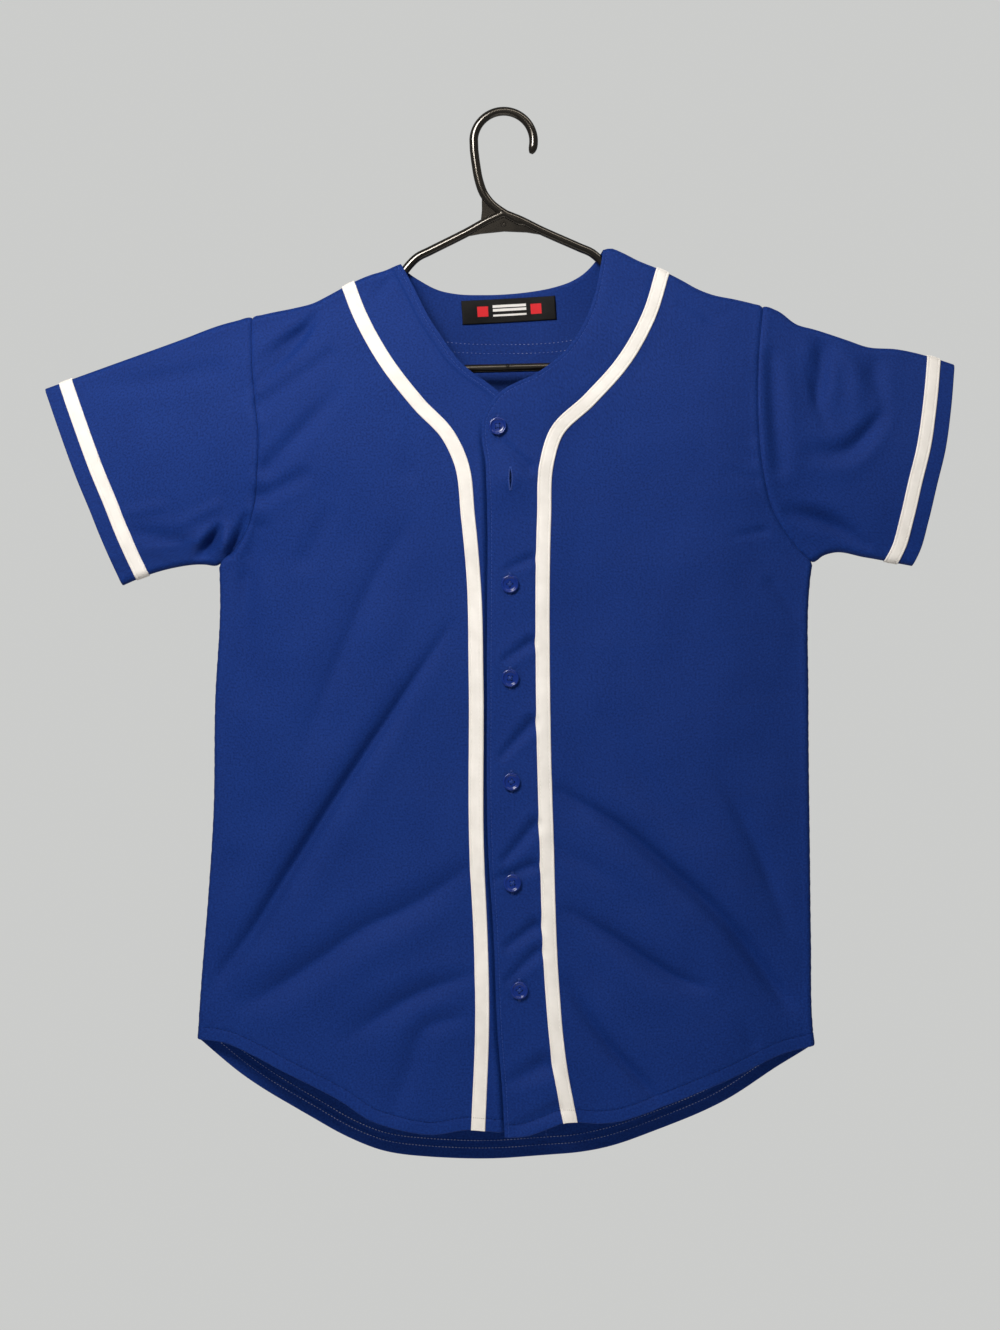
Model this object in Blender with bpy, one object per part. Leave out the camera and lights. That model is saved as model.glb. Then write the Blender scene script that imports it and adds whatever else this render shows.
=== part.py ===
"""Baseball jersey on a tubular hanger.

Z is up, X runs to the right as seen from the front and the front faces -Y.
The origin is the seat of the hook, the highest point inside its curve.
Every size below is in millimetres.
"""
import math

import bpy
import numpy as np

MM = 0.001

for startup in list(bpy.data.objects):
    bpy.data.objects.remove(startup)

# Cloth and trim
CLOTH = 1.4
BRAID_WIDTH = 11.2
BRAID_THICKNESS = 1.0
LABEL_THICKNESS = 0.6
SEAM_GAP = 0.3
SLEEVE_SEAM = 0.45
LAY_GAP = 0.5
BUTTON_GAP = 0.6
BACK_EASE = 0.25
LABEL_EASE = 0.6

# Hollow of the garment
FOLD_RADIUS = 5.0
OPENING_LENGTH = 55.0
BODY_DEPTH = 21.0
SLEEVE_DEPTH = 13.0
HEM_EXTRA = 4.0

# Placket
PLACKET_LIFT = 2.2
PLACKET_FADE = 35.0
HIDDEN_BUTTON_LIFT = 4.0
HIDDEN_BUTTON_SPREAD = 16.0

# Outline seen from the front, columns x and z
RIDGE_RIGHT = (
    (-82.6, -118.2), (-94.0, -123.6), (-107.0, -127.6), (-121.0, -133.6),
    (-139.5, -143.6), (-153.0, -150.3), (-167.0, -153.9), (-185.4, -157.6),
    (-201.0, -161.2), (-226.0, -167.5), (-256.5, -178.9), (-318.0, -201.1),
    (-366.6, -218.7),
)
RIDGE_LEFT = (
    (79.4, -106.9), (86.0, -106.2), (94.0, -109.2), (107.5, -116.0),
    (124.0, -122.7), (143.0, -132.0), (154.0, -138.2), (167.0, -143.3),
    (185.0, -147.0), (207.6, -152.6), (219.0, -156.2), (234.7, -167.3),
    (248.0, -171.0), (275.5, -180.0), (290.0, -185.0), (314.7, -187.0),
    (345.7, -194.4), (360.3, -199.3),
)
UNDERARM_RIGHT = (
    (-228.2, -360.0), (-245.0, -359.2), (-264.0, -361.9), (-290.9, -370.0),
    (-304.5, -376.0),
)
UNDERARM_LEFT = (
    (247.6, -358.0), (254.5, -352.7), (264.0, -349.7), (288.6, -353.4),
    (326.8, -360.4),
)
SIDE_RIGHT = (
    (-228.2, -360.0), (-227.6, -388.0), (-231.5, -467.0), (-233.0, -560.0),
    (-237.3, -627.0), (-242.5, -691.0), (-245.7, -738.0),
)
SIDE_LEFT = (
    (247.6, -358.0), (245.6, -376.0), (244.7, -467.0), (245.9, -595.0),
    (246.7, -660.0), (248.3, -731.0), (249.6, -743.0),
)
CUFF_RIGHT = (
    (-366.6, -218.7), (-353.7, -254.3), (-340.0, -290.9), (-329.4, -316.6),
    (-321.7, -336.4), (-313.2, -356.5), (-304.5, -376.0),
)
CUFF_LEFT = (
    (360.3, -199.3), (356.4, -237.3), (351.7, -268.1), (345.1, -295.6),
    (338.6, -324.9), (332.1, -349.2), (326.8, -360.4),
)
ARMHOLE_RIGHT = (
    (-201.0, -161.2), (-201.4, -178.5), (-199.1, -218.0), (-195.3, -256.1),
    (-196.1, -286.4), (-199.1, -313.7), (-205.9, -333.5), (-216.6, -348.0),
    (-228.2, -360.0),
)
ARMHOLE_LEFT = (
    (207.6, -152.6), (203.7, -190.5), (202.5, -231.0), (203.7, -263.5),
    (207.8, -292.6), (215.1, -316.9), (226.5, -336.3), (238.0, -350.0),
    (247.6, -358.0),
)

# Free edges of the front and back, columns x and z
NECK_RIGHT = (
    (-82.6, -118.2), (-77.1, -127.9), (-69.0, -144.1), (-59.3, -163.6),
    (-47.9, -181.4), (-36.6, -197.6), (-25.3, -208.2), (-14.0, -216.3),
    (-5.0, -223.5), (5.0, -233.0), (13.0, -245.0), (18.0, -258.0),
)
CENTRE_RIGHT = (
    (18.0, -258.0), (20.5, -275.0), (22.0, -300.0), (22.6, -450.0),
    (23.8, -587.0), (28.1, -653.0), (31.0, -726.0), (35.4, -785.0),
    (36.8, -811.5),
)
NECK_LEFT = (
    (79.4, -106.9), (76.1, -126.3), (72.0, -145.7), (65.4, -163.6),
    (57.5, -178.3), (47.7, -191.1), (36.3, -200.9), (23.3, -209.8),
    (10.4, -215.5), (-1.0, -221.9), (-9.9, -231.7), (-15.9, -242.3),
    (-17.7, -249.5),
)
CENTRE_LEFT = (
    (-17.7, -249.5), (-17.1, -262.6), (-14.7, -277.3), (-13.6, -300.0),
    (-13.3, -450.0), (-12.2, -587.2), (-7.9, -653.2), (-5.0, -726.3),
    (-0.6, -784.7), (0.8, -812.4),
)
HEM_FRONT_RIGHT = (
    (36.8, -811.5), (-0.5, -809.6), (-26.2, -806.6), (-58.8, -810.6),
    (-84.5, -806.4), (-106.8, -799.0), (-127.3, -785.9), (-178.7, -760.2),
    (-201.4, -749.1), (-221.9, -740.9), (-245.7, -738.0),
)
HEM_FRONT_LEFT = (
    (0.8, -812.4), (17.7, -811.4), (35.9, -805.3), (48.0, -800.8),
    (75.7, -802.0), (90.3, -800.6), (108.4, -795.4), (135.5, -785.3),
    (190.1, -763.6), (222.8, -749.4), (249.6, -743.0),
)
HEM_BACK = (
    (-245.7, -738.0), (-209.2, -769.7), (-156.6, -804.5), (-130.3, -819.5),
    (-104.0, -830.0), (-60.3, -837.7), (11.7, -837.6), (64.3, -833.6),
    (120.1, -817.0), (176.0, -793.0), (222.5, -760.8), (249.6, -743.0),
)
NECK_BACK = (
    (-82.6, -118.2), (-78.0, -123.2), (-66.5, -130.7), (-53.5, -137.0),
    (-37.0, -140.2), (-17.3, -140.6), (2.3, -139.8), (23.6, -137.6),
    (40.1, -134.6), (54.8, -129.9), (64.6, -124.1), (72.9, -115.9),
    (79.4, -106.9),
)

# Middle line of the braid, columns x and z
BRAID_FRONT_RIGHT = (
    (-124.2, -135.6), (-115.9, -157.5), (-95.0, -196.4), (-67.2, -232.8),
    (-43.6, -258.2), (-34.5, -277.0), (-28.1, -323.0), (-23.8, -370.0),
    (-22.1, -450.0), (-21.5, -587.0), (-18.0, -660.0), (-16.9, -715.0),
    (-20.2, -806.8),
)
BRAID_FRONT_LEFT = (
    (127.3, -124.0), (115.9, -160.6), (94.8, -198.9), (68.2, -229.1),
    (41.4, -255.8), (33.9, -280.0), (31.9, -323.0), (31.1, -465.0),
    (34.1, -587.0), (38.4, -697.0), (44.2, -756.0), (52.5, -800.7),
)
BRAID_BACK = (
    (-124.2, -135.6), (-117.0, -152.0), (-98.0, -168.5), (-60.0, -180.5),
    (0.0, -184.5), (60.0, -180.0), (99.0, -166.0), (120.0, -147.0),
    (127.3, -124.0),
)
CUFF_TO_BRAID = 12.0

# Folds of the front, columns x, z, half width and depth
FOLDS_FRONT = (
    (
        (-36.9, -400.0, 7.0, 0.0), (-82.0, -467.2, 9.0, 3.0),
        (-129.4, -538.4, 12.0, 5.0), (-168.9, -601.6, 14.0, 5.5),
        (-200.6, -653.0, 16.0, 4.5), (-236.1, -700.5, 16.0, 1.0),
    ),
    (
        (-30.6, -601.6, 9.0, 1.0), (-74.0, -630.9, 13.0, 3.5),
        (-111.2, -649.1, 14.0, 4.5), (-150.7, -676.7, 14.0, 4.5),
        (-190.3, -702.0, 14.0, 3.0), (-214.0, -714.0, 14.0, 0.0),
    ),
    (
        (-26.6, -684.6, 8.0, 1.0), (-60.6, -696.5, 11.0, 3.5),
        (-89.9, -712.3, 12.0, 3.5), (-131.8, -741.6, 12.0, 0.0),
    ),
    (
        (-34.5, -717.9, 8.0, 1.0), (-60.6, -725.8, 11.0, 3.0),
        (-74.0, -757.4, 12.0, 3.0), (-87.5, -793.0, 12.0, 1.5),
    ),
    (
        (-71.7, -319.3, 12.0, 0.0), (-102.0, -370.0, 15.0, 2.0),
        (-129.4, -433.2, 17.0, 2.5), (-174.5, -546.3, 17.0, 0.0),
    ),
    (
        (44.6, -538.4, 9.0, 1.0), (92.0, -567.6, 12.0, 4.0),
        (129.2, -599.2, 13.0, 5.0), (179.0, -646.7, 15.0, 5.0),
        (218.5, -698.9, 16.0, 3.0), (234.3, -720.0, 16.0, 0.0),
    ),
    (
        (52.5, -633.3, 9.0, 1.0), (86.5, -654.6, 11.0, 3.5),
        (139.5, -688.6, 13.0, 3.5), (168.0, -698.0, 13.0, 0.0),
    ),
    (
        (50.1, -691.0, 9.0, 1.0), (81.7, -738.4, 11.0, 3.5),
        (113.4, -773.2, 12.0, 2.5), (125.0, -788.0, 12.0, 1.0),
    ),
    (
        (165.5, -517.0, 14.0, 0.0), (200.3, -583.4, 15.0, 3.0),
        (234.3, -672.8, 15.0, 0.0),
    ),
    (
        (-145.8, -152.1, 8.0, 0.0), (-156.1, -173.5, 10.0, 2.0),
        (-191.1, -210.8, 11.0, 1.5), (-215.0, -232.0, 11.0, 0.0),
    ),
    (
        (243.0, -190.0, 12.0, 0.0), (246.0, -215.0, 13.0, 2.0),
        (262.0, -262.0, 14.0, 0.0),
    ),
    (
        (225.3, -313.9, 9.0, 0.0), (257.1, -324.6, 10.0, 2.0),
        (291.3, -340.0, 10.0, 0.0),
    ),
)
FOLDS_BACK = (
    (
        (-120.0, -260.0, 26.0, 0.0), (-112.0, -480.0, 30.0, 3.0),
        (-98.0, -700.0, 32.0, 4.0), (-92.0, -835.0, 32.0, 4.0),
    ),
    (
        (118.0, -250.0, 26.0, 0.0), (108.0, -470.0, 30.0, 3.0),
        (96.0, -690.0, 32.0, 4.0), (92.0, -835.0, 32.0, 4.0),
    ),
    (
        (6.0, -420.0, 26.0, 0.0), (2.0, -600.0, 32.0, 2.5),
        (0.0, -838.0, 34.0, 3.5),
    ),
)

# Buttons, columns x and z of each middle, from the neck down
BUTTONS = (
    (-4.5, -250.9), (5.0, -293.5), (5.0, -375.6), (5.2, -449.8),
    (6.2, -531.8), (7.0, -611.9), (12.4, -696.0),
)
HIDDEN_BUTTON = 2
BUTTON_RADIUS = 7.0
BUTTON_PROFILE = (  # radius and height over the back of the button
    (0.0, 0.0), (5.6, 0.0), (6.8, 0.7), (7.0, 1.5), (6.5, 2.3), (5.7, 2.4),
    (4.9, 1.8), (0.0, 1.6),
)
BUTTON_STEPS = 16
BUTTON_HOLE_RADIUS = 0.8
BUTTON_HOLE_OFFSET = 1.45

# Neck label: its middle, size and tilt
LABEL_CENTRE = (4.2, -153.6)
LABEL_WIDTH = 76.0
LABEL_HEIGHT = 19.0
LABEL_TILT = 3.4

# Hanger: right half of the rod before it is tilted, columns x and z
HANGER_TILT = 1.4
ROD_RADIUS = 3.5
ROD_STEPS = 9
HANGER_HALF = (
    (0.0, -79.0), (8.0, -81.8), (30.0, -92.9), (60.0, -107.0),
    (70.0, -111.8), (76.0, -117.2), (81.5, -123.4), (88.0, -128.2),
    (98.0, -131.4), (112.0, -135.6), (130.0, -144.0), (150.0, -153.2),
    (162.0, -157.4), (176.0, -160.2), (189.0, -163.0), (198.0, -167.0),
    (203.6, -175.0), (203.6, -187.0), (197.0, -196.6), (186.0, -201.4),
    (168.0, -202.0), (120.0, -202.0), (60.0, -202.0), (0.0, -202.0),
)
HOOK_RADIUS = 24.0
HOOK_START = -24.0
HOOK_STEM = (
    (-23.6, -28.0), (-22.1, -39.5), (-19.6, -52.5), (-16.2, -62.0),
    (-9.6, -70.8), (-1.5, -77.0), (7.0, -82.0), (16.0, -87.0),
)
GUSSET = ((-37.0, -98.0), (0.5, -80.0), (37.5, -96.4), (19.0, -93.4),
          (0.0, -92.4), (-19.0, -94.6))
GUSSET_THICKNESS = 3.0


# Curves

def spline(points, step=2.0):
    """Dense smooth line through the rows of a table."""
    rows = np.array(points, dtype=float)
    lengths = np.hypot(*(rows[1:, :2] - rows[:-1, :2]).T)
    knots = np.concatenate(([0.0], np.cumsum(lengths)))
    slopes = np.gradient(rows, knots, axis=0)
    out = [rows[:1]]
    for k, length in enumerate(lengths):
        count = int(math.ceil(length / step))
        t = (np.arange(1, count + 1) / count)[:, None]
        h00 = 2 * t**3 - 3 * t**2 + 1
        h10 = t**3 - 2 * t**2 + t
        h01 = -2 * t**3 + 3 * t**2
        h11 = t**3 - t**2
        out.append(h00 * rows[k] + h10 * length * slopes[k]
                   + h01 * rows[k + 1] + h11 * length * slopes[k + 1])
    return np.vstack(out)


def arc_length(line):
    steps = np.hypot(*(line[1:, :2] - line[:-1, :2]).T)
    return np.concatenate(([0.0], np.cumsum(steps)))


def along(line, distance):
    """Points at distances along a line."""
    s = arc_length(line)
    distance = np.atleast_1d(np.asarray(distance, dtype=float))
    return np.stack([np.interp(distance, s, line[:, k])
                     for k in range(line.shape[1])], axis=1)


def length_of(line):
    return float(arc_length(line)[-1])


def cut_at_level(line, level):
    """Split a line that runs up or down where it passes a height."""
    z = line[:, 1]
    k = int(np.argmax((z[:-1] - level) * (z[1:] - level) <= 0))
    share = (level - z[k]) / (z[k + 1] - z[k])
    point = line[k] + share * (line[k + 1] - line[k])
    return (np.vstack([line[:k + 1], point]), np.vstack([point, line[k + 1:]]))


def inset(line, amount):
    """Move a line sideways, to the right of its direction if positive."""
    tangent = np.gradient(line, axis=0)
    tangent /= np.linalg.norm(tangent, axis=1)[:, None]
    normal = np.stack([tangent[:, 1], -tangent[:, 0]], axis=1)
    return line + amount * normal


def extend(line, start, end):
    """Straight continuations at the two ends of a line."""
    first = line[0] - line[1]
    last = line[-1] - line[-2]
    rows = [line]
    if start:
        rows.insert(0, line[:1] + start * first / np.linalg.norm(first))
    if end:
        rows.append(line[-1:] + end * last / np.linalg.norm(last))
    return np.vstack(rows)


def nearest(points, line):
    """Distance to a line, row and share of the nearest point, and side."""
    a = line[:-1, :2]
    run = line[1:, :2] - a
    square = (run**2).sum(axis=1)
    distance = np.empty(len(points))
    place = np.empty(len(points))
    side = np.empty(len(points))
    for start in range(0, len(points), 4000):
        chunk = points[start:start + 4000]
        offset = chunk[:, None, :] - a[None, :, :]
        share = np.clip((offset * run).sum(axis=2) / square, 0.0, 1.0)
        gap = offset - share[:, :, None] * run
        size = np.sqrt((gap**2).sum(axis=2))
        k = size.argmin(axis=1)
        rows = np.arange(len(chunk))
        best = share[rows, k]
        cross = run[k, 0] * offset[rows, k, 1] - run[k, 1] * offset[rows, k, 0]
        at_end = ((k == 0) & (best <= 0)) | ((k == len(a) - 1) & (best >= 1))
        distance[start:start + 4000] = size[rows, k]
        place[start:start + 4000] = k + best
        side[start:start + 4000] = np.where(at_end, 0.0, np.sign(cross))
    return distance, place, side


def smooth(x):
    x = np.clip(x, 0.0, 1.0)
    return x * x * (3.0 - 2.0 * x)


# Outline of the closed edges. The mid-plane of the cloth lies half a wall
# inside it.
HALF = CLOTH / 2
ridge_right = inset(spline(RIDGE_RIGHT), -HALF)
ridge_left = inset(spline(RIDGE_LEFT), HALF)
under_right = inset(spline(UNDERARM_RIGHT), HALF)
under_left = inset(spline(UNDERARM_LEFT), -HALF)
side_right = inset(spline(SIDE_RIGHT), -HALF)
side_left = inset(spline(SIDE_LEFT), HALF)
corner_right = np.array([side_right[0, 0], under_right[0, 1]])
corner_left = np.array([side_left[0, 0], under_left[0, 1]])
for pair, corner in (((under_right, side_right), corner_right),
                     ((under_left, side_left), corner_left)):
    for edge in pair:
        edge[0] = corner


def through(table, start, end):
    """Line through a table whose ends move onto two given points."""
    line = spline(table)
    s = (arc_length(line) / length_of(line))[:, None]
    return line + (1 - s) * (start - line[0]) + s * (end - line[-1])


armhole_right = through(ARMHOLE_RIGHT, along(ridge_right, 127.0)[0], corner_right)
armhole_left = through(ARMHOLE_LEFT, along(ridge_left, 137.0)[0], corner_left)
cuff_right = through(CUFF_RIGHT, ridge_right[-1], under_right[-1])
cuff_left = through(CUFF_LEFT, ridge_left[-1], under_left[-1])
CLOSED_EDGES = (
    (extend(ridge_right, 0, 20), 1.0),
    (extend(ridge_left, 0, 20), -1.0),
    (np.vstack([extend(under_right, 0, 20)[::-1], extend(side_right, 0, 110)[1:]]), 1.0),
    (np.vstack([extend(under_left, 0, 20)[::-1], extend(side_left, 0, 110)[1:]]), -1.0),
)


def inside_distance(points):
    """Distance inside the closed outline, negative outside."""
    total = None
    for line, turn in CLOSED_EDGES:
        distance, _, side = nearest(points, line)
        outside = (side * turn < 0) & (distance < 4.0)
        distance = np.where(outside, -distance, distance)
        if total is None:
            total = distance
            continue
        blend = np.clip(1.0 - np.abs(total - distance) / 30.0, 0.0, 1.0)
        total = np.minimum(total, distance) - blend**2 * 7.5
    return total


def depth_limit(points):
    x = np.abs(points[:, 0])
    limit = BODY_DEPTH + (SLEEVE_DEPTH - BODY_DEPTH) * smooth((x - 165.0) / 80.0)
    return limit + HEM_EXTRA * smooth((-points[:, 1] - 480.0) / 330.0)


def half_depth_squared(points):
    """Square of the half depth of the hollow, negative outside it."""
    d = inside_distance(points)
    limit = depth_limit(points)
    x = np.maximum(d - FOLD_RADIUS, 0.0) / OPENING_LENGTH
    opening = 1.0 - np.exp(-x * x / (x + 0.12))
    open_part = (FOLD_RADIUS + (limit - FOLD_RADIUS) * opening) ** 2
    arc = 2 * FOLD_RADIUS * d - d * d
    return np.where(d < FOLD_RADIUS, arc, open_part), d


def fold_field(points, folds, d):
    """Displacement towards the back along a set of folds."""
    total = np.zeros(len(points))
    for table in folds:
        line = spline(table, 6.0)
        reach = 3.2 * line[:, 2].max()
        low = line[:, :2].min(axis=0) - reach
        high = line[:, :2].max(axis=0) + reach
        near = np.all((points > low) & (points < high), axis=1)
        if not near.any():
            continue
        distance, place, _ = nearest(points[near], line)
        rows = np.arange(len(line))
        width = np.interp(place, rows, line[:, 2])
        depth = np.interp(place, rows, line[:, 3])
        q = (distance / width) ** 2
        total[near] += depth * (1 - 0.8 * q) * np.exp(-0.7 * q)
    return total * smooth(d / 22.0)


def placket_lift(points):
    """How far the upper front is raised off the lower one."""
    under_edge = np.interp(-points[:, 1], [300.0, 587.0, 697.0, 812.0],
                           [22.6, 23.8, 29.6, 36.8])
    lift = PLACKET_LIFT * smooth(1.0 - (points[:, 0] - under_edge - 5.0) / PLACKET_FADE)
    x, z = BUTTONS[HIDDEN_BUTTON - 1]
    reach = (points[:, 0] - x) ** 2 + (points[:, 1] - z) ** 2
    return lift + HIDDEN_BUTTON_LIFT * np.exp(-reach / (2 * HIDDEN_BUTTON_SPREAD**2))


def displacement(points, side, lifted, d):
    if side > 0:
        return -fold_field(points, FOLDS_BACK, d)
    moved = fold_field(points, FOLDS_FRONT, d)
    return moved - placket_lift(points) if lifted else moved


def surface(points, side, lifted=False, gap=SEAM_GAP / 2):
    """Points and outward normals of the cloth's middle plane."""
    points = np.asarray(points, dtype=float)
    q, d = half_depth_squared(points)
    half = side * np.sqrt(np.maximum(q, 0.0))
    moved = displacement(points, side, lifted, d)
    h = 0.5
    slopes = []
    for step in ((h, 0.0), (0.0, h)):
        q1, d1 = half_depth_squared(points + step)
        q0, d0 = half_depth_squared(points - step)
        w1 = displacement(points + step, side, lifted, d1)
        w0 = displacement(points - step, side, lifted, d0)
        slopes.append(((q1 - q0) / (2 * h), (w1 - w0) / (2 * h)))
    (qx, wx), (qz, wz) = slopes
    normal = np.stack([-qx / 2 - half * wx, half, -qz / 2 - half * wz], axis=1)
    normal /= np.linalg.norm(normal, axis=1)[:, None]
    place = np.stack([points[:, 0], half + side * gap + moved, points[:, 1]], axis=1)
    return place, normal


# Meshes

def add_object(name, vertices, faces):
    mesh = bpy.data.meshes.new(name)
    mesh.from_pydata([tuple(v) for v in np.asarray(vertices) * MM], [], faces)
    mesh.validate()
    mesh.update()
    obj = bpy.data.objects.new(name, mesh)
    bpy.context.scene.collection.objects.link(obj)
    return obj


def slab(name, place, normal, thickness, lift=0.0, closed=False):
    """Closed wall around a grid of points, a ring if closed."""
    rows, columns = place.shape[:2]
    outer = place + normal * (lift + thickness / 2)
    inner = place + normal * (lift - thickness / 2)
    vertices = np.vstack([outer.reshape(-1, 3), inner.reshape(-1, 3)])
    size = rows * columns

    def at(i, j, layer):
        return layer * size + (i % rows) * columns + j

    faces = []
    spans = rows if closed else rows - 1
    for i in range(spans):
        for j in range(columns - 1):
            for layer in (0, 1):
                quad = (at(i, j, layer), at(i, j + 1, layer),
                        at(i + 1, j + 1, layer), at(i + 1, j, layer))
                faces.append(quad if layer == 0 else quad[::-1])
        for j in (0, columns - 1):
            rim = (at(i, j, 0), at(i + 1, j, 0), at(i + 1, j, 1), at(i, j, 1))
            faces.append(rim if j == 0 else rim[::-1])
    if not closed:
        for i in (0, rows - 1):
            for j in range(columns - 1):
                rim = (at(i, j + 1, 0), at(i, j, 0), at(i, j, 1), at(i, j + 1, 1))
                faces.append(rim if i == 0 else rim[::-1])
    if signed_volume(vertices, faces) < 0:
        faces = [face[::-1] for face in faces]
    return add_object(name, vertices, faces)


def signed_volume(vertices, faces):
    total = 0.0
    for face in faces:
        a = vertices[face[0]]
        for k in range(1, len(face) - 1):
            total += np.dot(a, np.cross(vertices[face[k]], vertices[face[k + 1]]))
    return total / 6.0


def tube(path, radius, steps, closed):
    """Round rod along a path in the X-Z plane."""
    path = np.asarray(path, dtype=float)
    ahead = np.roll(path, -1, axis=0) - np.roll(path, 1, axis=0)
    if not closed:
        ahead[0] = path[1] - path[0]
        ahead[-1] = path[-1] - path[-2]
    ahead /= np.linalg.norm(ahead, axis=1)[:, None]
    across = np.stack([ahead[:, 1], -ahead[:, 0]], axis=1)
    radii = np.full(len(path), radius)
    if not closed:
        radii[0] *= 0.55
        radii[-1] *= 0.55
    angles = 2 * math.pi * np.arange(steps) / steps
    vertices = []
    for point, direction, r in zip(path, across, radii):
        for angle in angles:
            out = r * math.cos(angle)
            vertices.append((point[0] + out * direction[0], r * math.sin(angle),
                             point[1] + out * direction[1]))
    faces = []
    count = len(path)
    for i in range(count if closed else count - 1):
        for k in range(steps):
            a = i * steps + k
            b = i * steps + (k + 1) % steps
            shift = steps if i < count - 1 else -i * steps
            faces.append((a, b, b + shift, a + shift))
    if not closed:
        faces.append(tuple(range(steps))[::-1])
        faces.append(tuple(range((count - 1) * steps, count * steps)))
    vertices = np.array(vertices)
    if signed_volume(vertices, faces) < 0:
        faces = [face[::-1] for face in faces]
    return vertices, faces


def combine(target, tool, operation):
    """Boolean of two solids. The second one is removed."""
    step = target.modifiers.new("cut", "BOOLEAN")
    step.operation = operation
    step.solver = "EXACT"
    step.object = tool
    graph = bpy.context.evaluated_depsgraph_get()
    mesh = bpy.data.meshes.new_from_object(target.evaluated_get(graph))
    target.modifiers.clear()
    target.data = mesh
    bpy.data.objects.remove(tool)


# Spacing of the grid lines

NEAR_FOLD = np.array([0.0, 0.6, 2.3, 5.0, 9.0, 16.0])
NEAR_CORNER = np.array([0.0, 3.0, 7.0, 12.0, 18.0, 26.0])


def spread(length, middle, start=NEAR_FOLD, end=NEAR_FOLD):
    """Places along a length, close together at its ends."""
    inner = np.linspace(start[-1], length - end[-1], middle + 2)[1:-1]
    return np.concatenate([start, inner, length - end[::-1]])


HIGH_ROWS = 5
LOW_ROWS = 14
FREE_END = np.array([0.0, 8.0])


def high_places(line, fold_side_end):
    """Rows between the underarm and the shoulder, counted upwards."""
    start = NEAR_FOLD if fold_side_end else NEAR_CORNER
    return along(line, spread(length_of(line), HIGH_ROWS, start, NEAR_FOLD))


def low_places(line):
    return along(line, spread(length_of(line), LOW_ROWS, FREE_END, FREE_END))


def edge_rows(low, high, fold_side_end=False):
    """Points of every row on one grid line, from the hem to the shoulder."""
    return np.vstack([low_places(low)[:-1], high_places(high, fold_side_end)])


side_rows = edge_rows(side_right[::-1], armhole_right[::-1], True)
ROWS = len(side_rows)
ROW_SHARE = arc_length(side_rows) / length_of(side_rows)


def patch(left, right, bottom, top, shares):
    """Grid between two columns of points, following two end curves."""
    left_ends = left[:, None, :]
    right_ends = right[:, None, :]
    straight = left_ends + shares[:, :, None] * (right_ends - left_ends)
    for weight, curve, row in ((1 - ROW_SHARE, bottom, 0), (ROW_SHARE, top, -1)):
        share = shares[row]
        chord = left[row] + share[:, None] * (right[row] - left[row])
        bend = along(curve, share * length_of(curve)) - chord
        for k in range(ROWS):
            moved = np.stack([np.interp(shares[k], share, bend[:, c])
                              for c in range(2)], axis=1)
            straight[k] += weight[k] * moved
    return straight


def widths(left, right):
    return np.linalg.norm(right - left, axis=1)


def between(line, start, end):
    """The stretch of a line between the places nearest two points."""
    s = arc_length(line)
    limits = []
    for point in (start, end):
        _, place, _ = nearest(np.array([point]), line)
        limits.append(np.interp(place[0], np.arange(len(line)), s))
    inner = (s > min(limits)) & (s < max(limits))
    marks = np.concatenate([[min(limits)], s[inner], [max(limits)]])
    if limits[0] > limits[1]:
        marks = marks[::-1]
    return along(line, marks)


def meet(line, edge):
    """Cut a line that starts beyond an edge where it first crosses it."""
    distance, _, side = nearest(line, edge)
    signed = distance * side
    k = int(np.argmax(signed[:-1] * signed[1:] <= 0))
    share = abs(signed[k]) / (abs(signed[k]) + abs(signed[k + 1]))
    point = line[k] + share * (line[k + 1] - line[k])
    return np.vstack([point, line[k + 1:]])


# Front panels

UNDERARM_LEVEL = -359.0
INNER_COLUMNS = 4
OUTER_COLUMNS = 9


def braid_edges(table, shoulder, hem):
    """Both edges and the middle of the braid, from hem to shoulder."""
    middle = extend(spline(table), 20.0, 20.0)
    lines = []
    for offset in (-BRAID_WIDTH / 2, 0.0, BRAID_WIDTH / 2):
        line = meet(inset(middle, offset), shoulder)
        line = meet(line[::-1], hem)
        lines.append(line)
    return lines


def front_grid(neck, centre, braid_table, side, armhole, shoulder, hem):
    """Grid of one front, columns from its centre edge to its side."""
    inner_edge = np.vstack([centre[::-1], neck[::-1][1:]])
    inner_low, inner_high = cut_at_level(inner_edge, UNDERARM_LEVEL)
    inner = edge_rows(inner_low, inner_high)
    outer = edge_rows(side[::-1], armhole[::-1], True)
    braid = []
    for line in braid_edges(braid_table, shoulder, hem):
        low, high = cut_at_level(line, UNDERARM_LEVEL)
        braid.append(edge_rows(low, high))
    if abs(braid[0][0, 0] - inner[0, 0]) > abs(braid[2][0, 0] - inner[0, 0]):
        braid = braid[::-1]
    inner_shares = np.tile(np.linspace(0, 1, INNER_COLUMNS + 1), (ROWS, 1))
    inner_part = patch(inner, braid[0],
                       between(hem, inner[0], braid[0][0]),
                       between(shoulder, inner[-1], braid[0][-1]), inner_shares)
    reach = widths(braid[2], outer)
    shares = []
    for width in reach:
        even = np.linspace(0, width - NEAR_FOLD[-1], OUTER_COLUMNS)
        shares.append(np.concatenate([even, width - NEAR_FOLD[-2::-1]]) / width)
    outer_part = patch(braid[2], outer,
                       between(hem, braid[2][0], outer[0]),
                       between(shoulder, braid[2][-1], outer[-1]), np.array(shares))
    grid = np.concatenate([inner_part, braid[1][:, None, :], outer_part], axis=1)
    return grid, INNER_COLUMNS


def lay(grid, side, lifted=False):
    rows, columns = grid.shape[:2]
    place, normal = surface(grid.reshape(-1, 2), side, lifted)
    return place.reshape(rows, columns, 3), normal.reshape(rows, columns, 3)


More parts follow.
